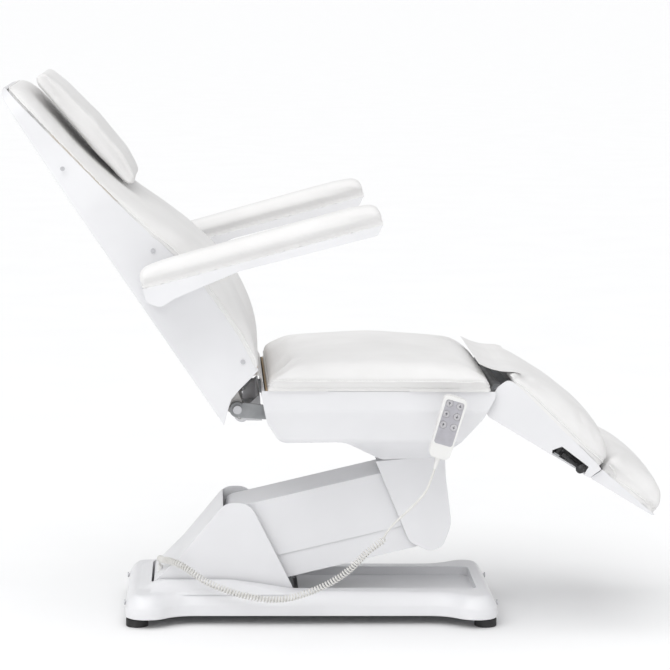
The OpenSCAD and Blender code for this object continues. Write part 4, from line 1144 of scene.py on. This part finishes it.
def make_back():
    half = back_half(290, 230, BACK_LEN)
    face = along_line(SEAM)
    line = [tuple(q) for q in spline(SEAM, 4)] + [tuple(q) for q in spline(CROWN, 4)]
    side = [(u, face(u) + 6, half(u)) for u in np.linspace(62, BACK_LEN - 6, 70)]
    over = [(BACK_LEN - 3, face(BACK_LEN) + 6, y) for y in np.linspace(half(BACK_LEN - 6), -half(BACK_LEN - 6), 12)]
    back = [(u, v, -y) for u, v, y in reversed(side)]
    cushion("back_cushion_cover", "back", ["back_cushion"], BACK, line, half, face, 30, 16, 10,
            [side + over + back], 7, 0.008, sink=6)


def make_pillow():
    low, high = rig.box("head_pillow")
    line = rounded([(533, 79, 10), (538, 100, 14), (600, 109, 60), (700, 101, 100), (800, 80, 60), (853, 63, 14),
                    (850, 37, 10), (760, 46, 60), (640, 57, 60)])
    middle = along_line([(533, 90), (600, 88), (700, 77), (800, 62), (853, 50)])
    cushion("head_pillow_cover", "pillow", ["head_pillow"], BACK, line, with_corners(high.y / MM, 533, 853, 16),
            middle, 7, 2, 15, [], 3, 0.005, fill=0.85, fastened=False)


LEG_FACE = along_line([(25, 38), (268, -18)])
FOOT_FACE = along_line([(283, -22.5), (436, -48.5)])


def edge_seam(face, low, high, half, above):
    """A seam up both sides of a cushion and round its outer end."""
    side = [(s, face(s) + above, half) for s in np.linspace(low, high, 30)]
    end = [(high + 2, face(high) + above, y) for y in np.linspace(half - 8, 8 - half, 12)]
    return side + end + [(s, t, -y) for s, t, y in reversed(side)]


def make_leg():
    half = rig.box("leg_cushion")[1].y / MM
    line = rounded([(-14, 46, 4), (-4, 42), (25, 38), (268, -18), (279, -15, 6), (279, 22, 22), (250, 47, 40),
                    (200, 60, 100), (130, 67, 200), (40, 65, 60), (2, 56, 18)])
    cushion("leg_cushion_cover", "leg", ["leg_cushion"], LEG, line, with_corners(half, -14, 279, 18), LEG_FACE,
            34, 8, 12, [edge_seam(LEG_FACE, 4, 276, half - 1, 8)], 6, 0.006, sink=5)


def make_foot():
    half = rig.box("foot_cushion")[1].y / MM
    line = rounded([(283, -22.5), (436, -48.5, 4), (438, -24, 12), (427, 6, 24), (399, 22, 40), (350, 27, 100),
                    (300, 24, 20), (284, 12, 8)])
    cushion("foot_cushion_cover", "foot", ["foot_cushion"], LEG, line, with_corners(half, 283, 438, 18), FOOT_FACE,
            28, 6, 12, [edge_seam(FOOT_FACE, 286, 433, half - 1, 8)], 5, 0.0055, sink=5)


def make_pads():
    for side in ("near", "far"):
        node = f"{side}_armrest_pad"
        low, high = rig.box(node)
        y, half = (low.y + high.y) / 2 / MM, (high.y - low.y) / 2 / MM
        line = rounded([(-20, 16, 6), (512, 16, 6), (512, 62, 26), (452, 66, 100), (40, 62, 100), (-20, 58, 24)])
        cushion(f"{side}_armrest_cover", f"{side}_armrest", [node], ARMREST, line,
                with_corners(half, -20, 512, 12), constant(16), 20, 3, 12,
                [ring_round(-20, 512, half, 14, 22, y)], 3, 0.005, y=y, fill=0.85, piping=1.5, sink=4, stitched=False)


def flap(name, node, line, half, rests_on, hold_to):
    """A strip of leatherette along a cushion's edge, with a slight wave between its sewn ends.

    line holds points (x, z) in metres, and hold_to fastens the piece to its body or bodies."""
    p = np.array([tuple(q) for q in spline(line, 6)]) / MM
    t = np.gradient(p, axis=0)
    t /= np.linalg.norm(t, axis=1)[:, None]
    normal = np.stack([-t[:, 1], t[:, 0]], 1)
    across = np.linspace(-half, half, 93)
    n, m = len(p), len(across)
    verts = []
    for face in (0.5, -0.5):
        for y in across:
            for i, (a, b) in enumerate(p):
                out = face + 0.8 * math.sin(y / 31) * math.sin(y / 97 + 1) * math.sin(math.pi * i / (n - 1))
                verts.append(Vector((a + normal[i, 0] * out, y, b + normal[i, 1] * out)) * MM)
    faces = [(c, c + 1, c + n + 1, c + n)
             for c in (k * n * m + j * n + i for k in range(2) for j in range(m - 1) for i in range(n - 1))]
    rim = list(range(n)) + [j * n + n - 1 for j in range(1, m)]
    rim += [(m - 1) * n + i for i in range(n - 2, -1, -1)] + [j * n for j in range(m - 2, 0, -1)]
    faces += [(a, b, b + n * m, a + n * m) for a, b in zip(rim, rim[1:] + rim[:1])]
    piece = make(name, verts, faces, LEATHER, 60)
    hold_to(piece)
    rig.slot(piece, "upholstery")
    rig.replaces(piece, node)
    length = float(np.linalg.norm(np.diff(p, axis=0), axis=1).sum())
    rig.sheet(piece, flat=(2 * half * MM, length * MM), held="hung", rests_on=rests_on)


def make_flaps():
    """The knee flap bridges the seat and the leg rest, and the lumbar flap hangs from the backrest."""
    def flat(p):
        return p.x, p.z
    top = (seat_high.z - seat_low.z) / MM
    front = (seat_high.x - seat_low.x) / MM
    knee = [flat(q) for q in (SEAT(front - 28, top - 22), SEAT(front - 6, top - 32), SEAT(front + 18, top - 38.5),
                              SEAT(front + 35, top - 40), LEG(5, 58.5), LEG(20, 63))]
    low = [flat(SEAT(a, b)) for a, b in ((-26, 25.5), (-15, 28), (-8.5, 22), (-2.5, 14))]
    flap("knee_flap", "leg_flap", knee, 230, ["seat_cushion_cover", "leg_cushion_cover"],
         lambda piece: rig.blend(piece, "seat", "leg", SEAT(front - 20, top - 25), LEG(8, 60)))
    flap("lumbar_flap", "back_flap", low, 220, ["back_cushion_cover"], lambda piece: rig.ride(piece, "back"))


make_seat()
make_back()
make_pillow()
make_leg()
make_foot()
make_pads()
make_flaps()

with open("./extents.json", "w") as out:
    json.dump({"cad": [list(v) for v in CAD_BOX], "visual": [list(v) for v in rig.bounds()]}, out)
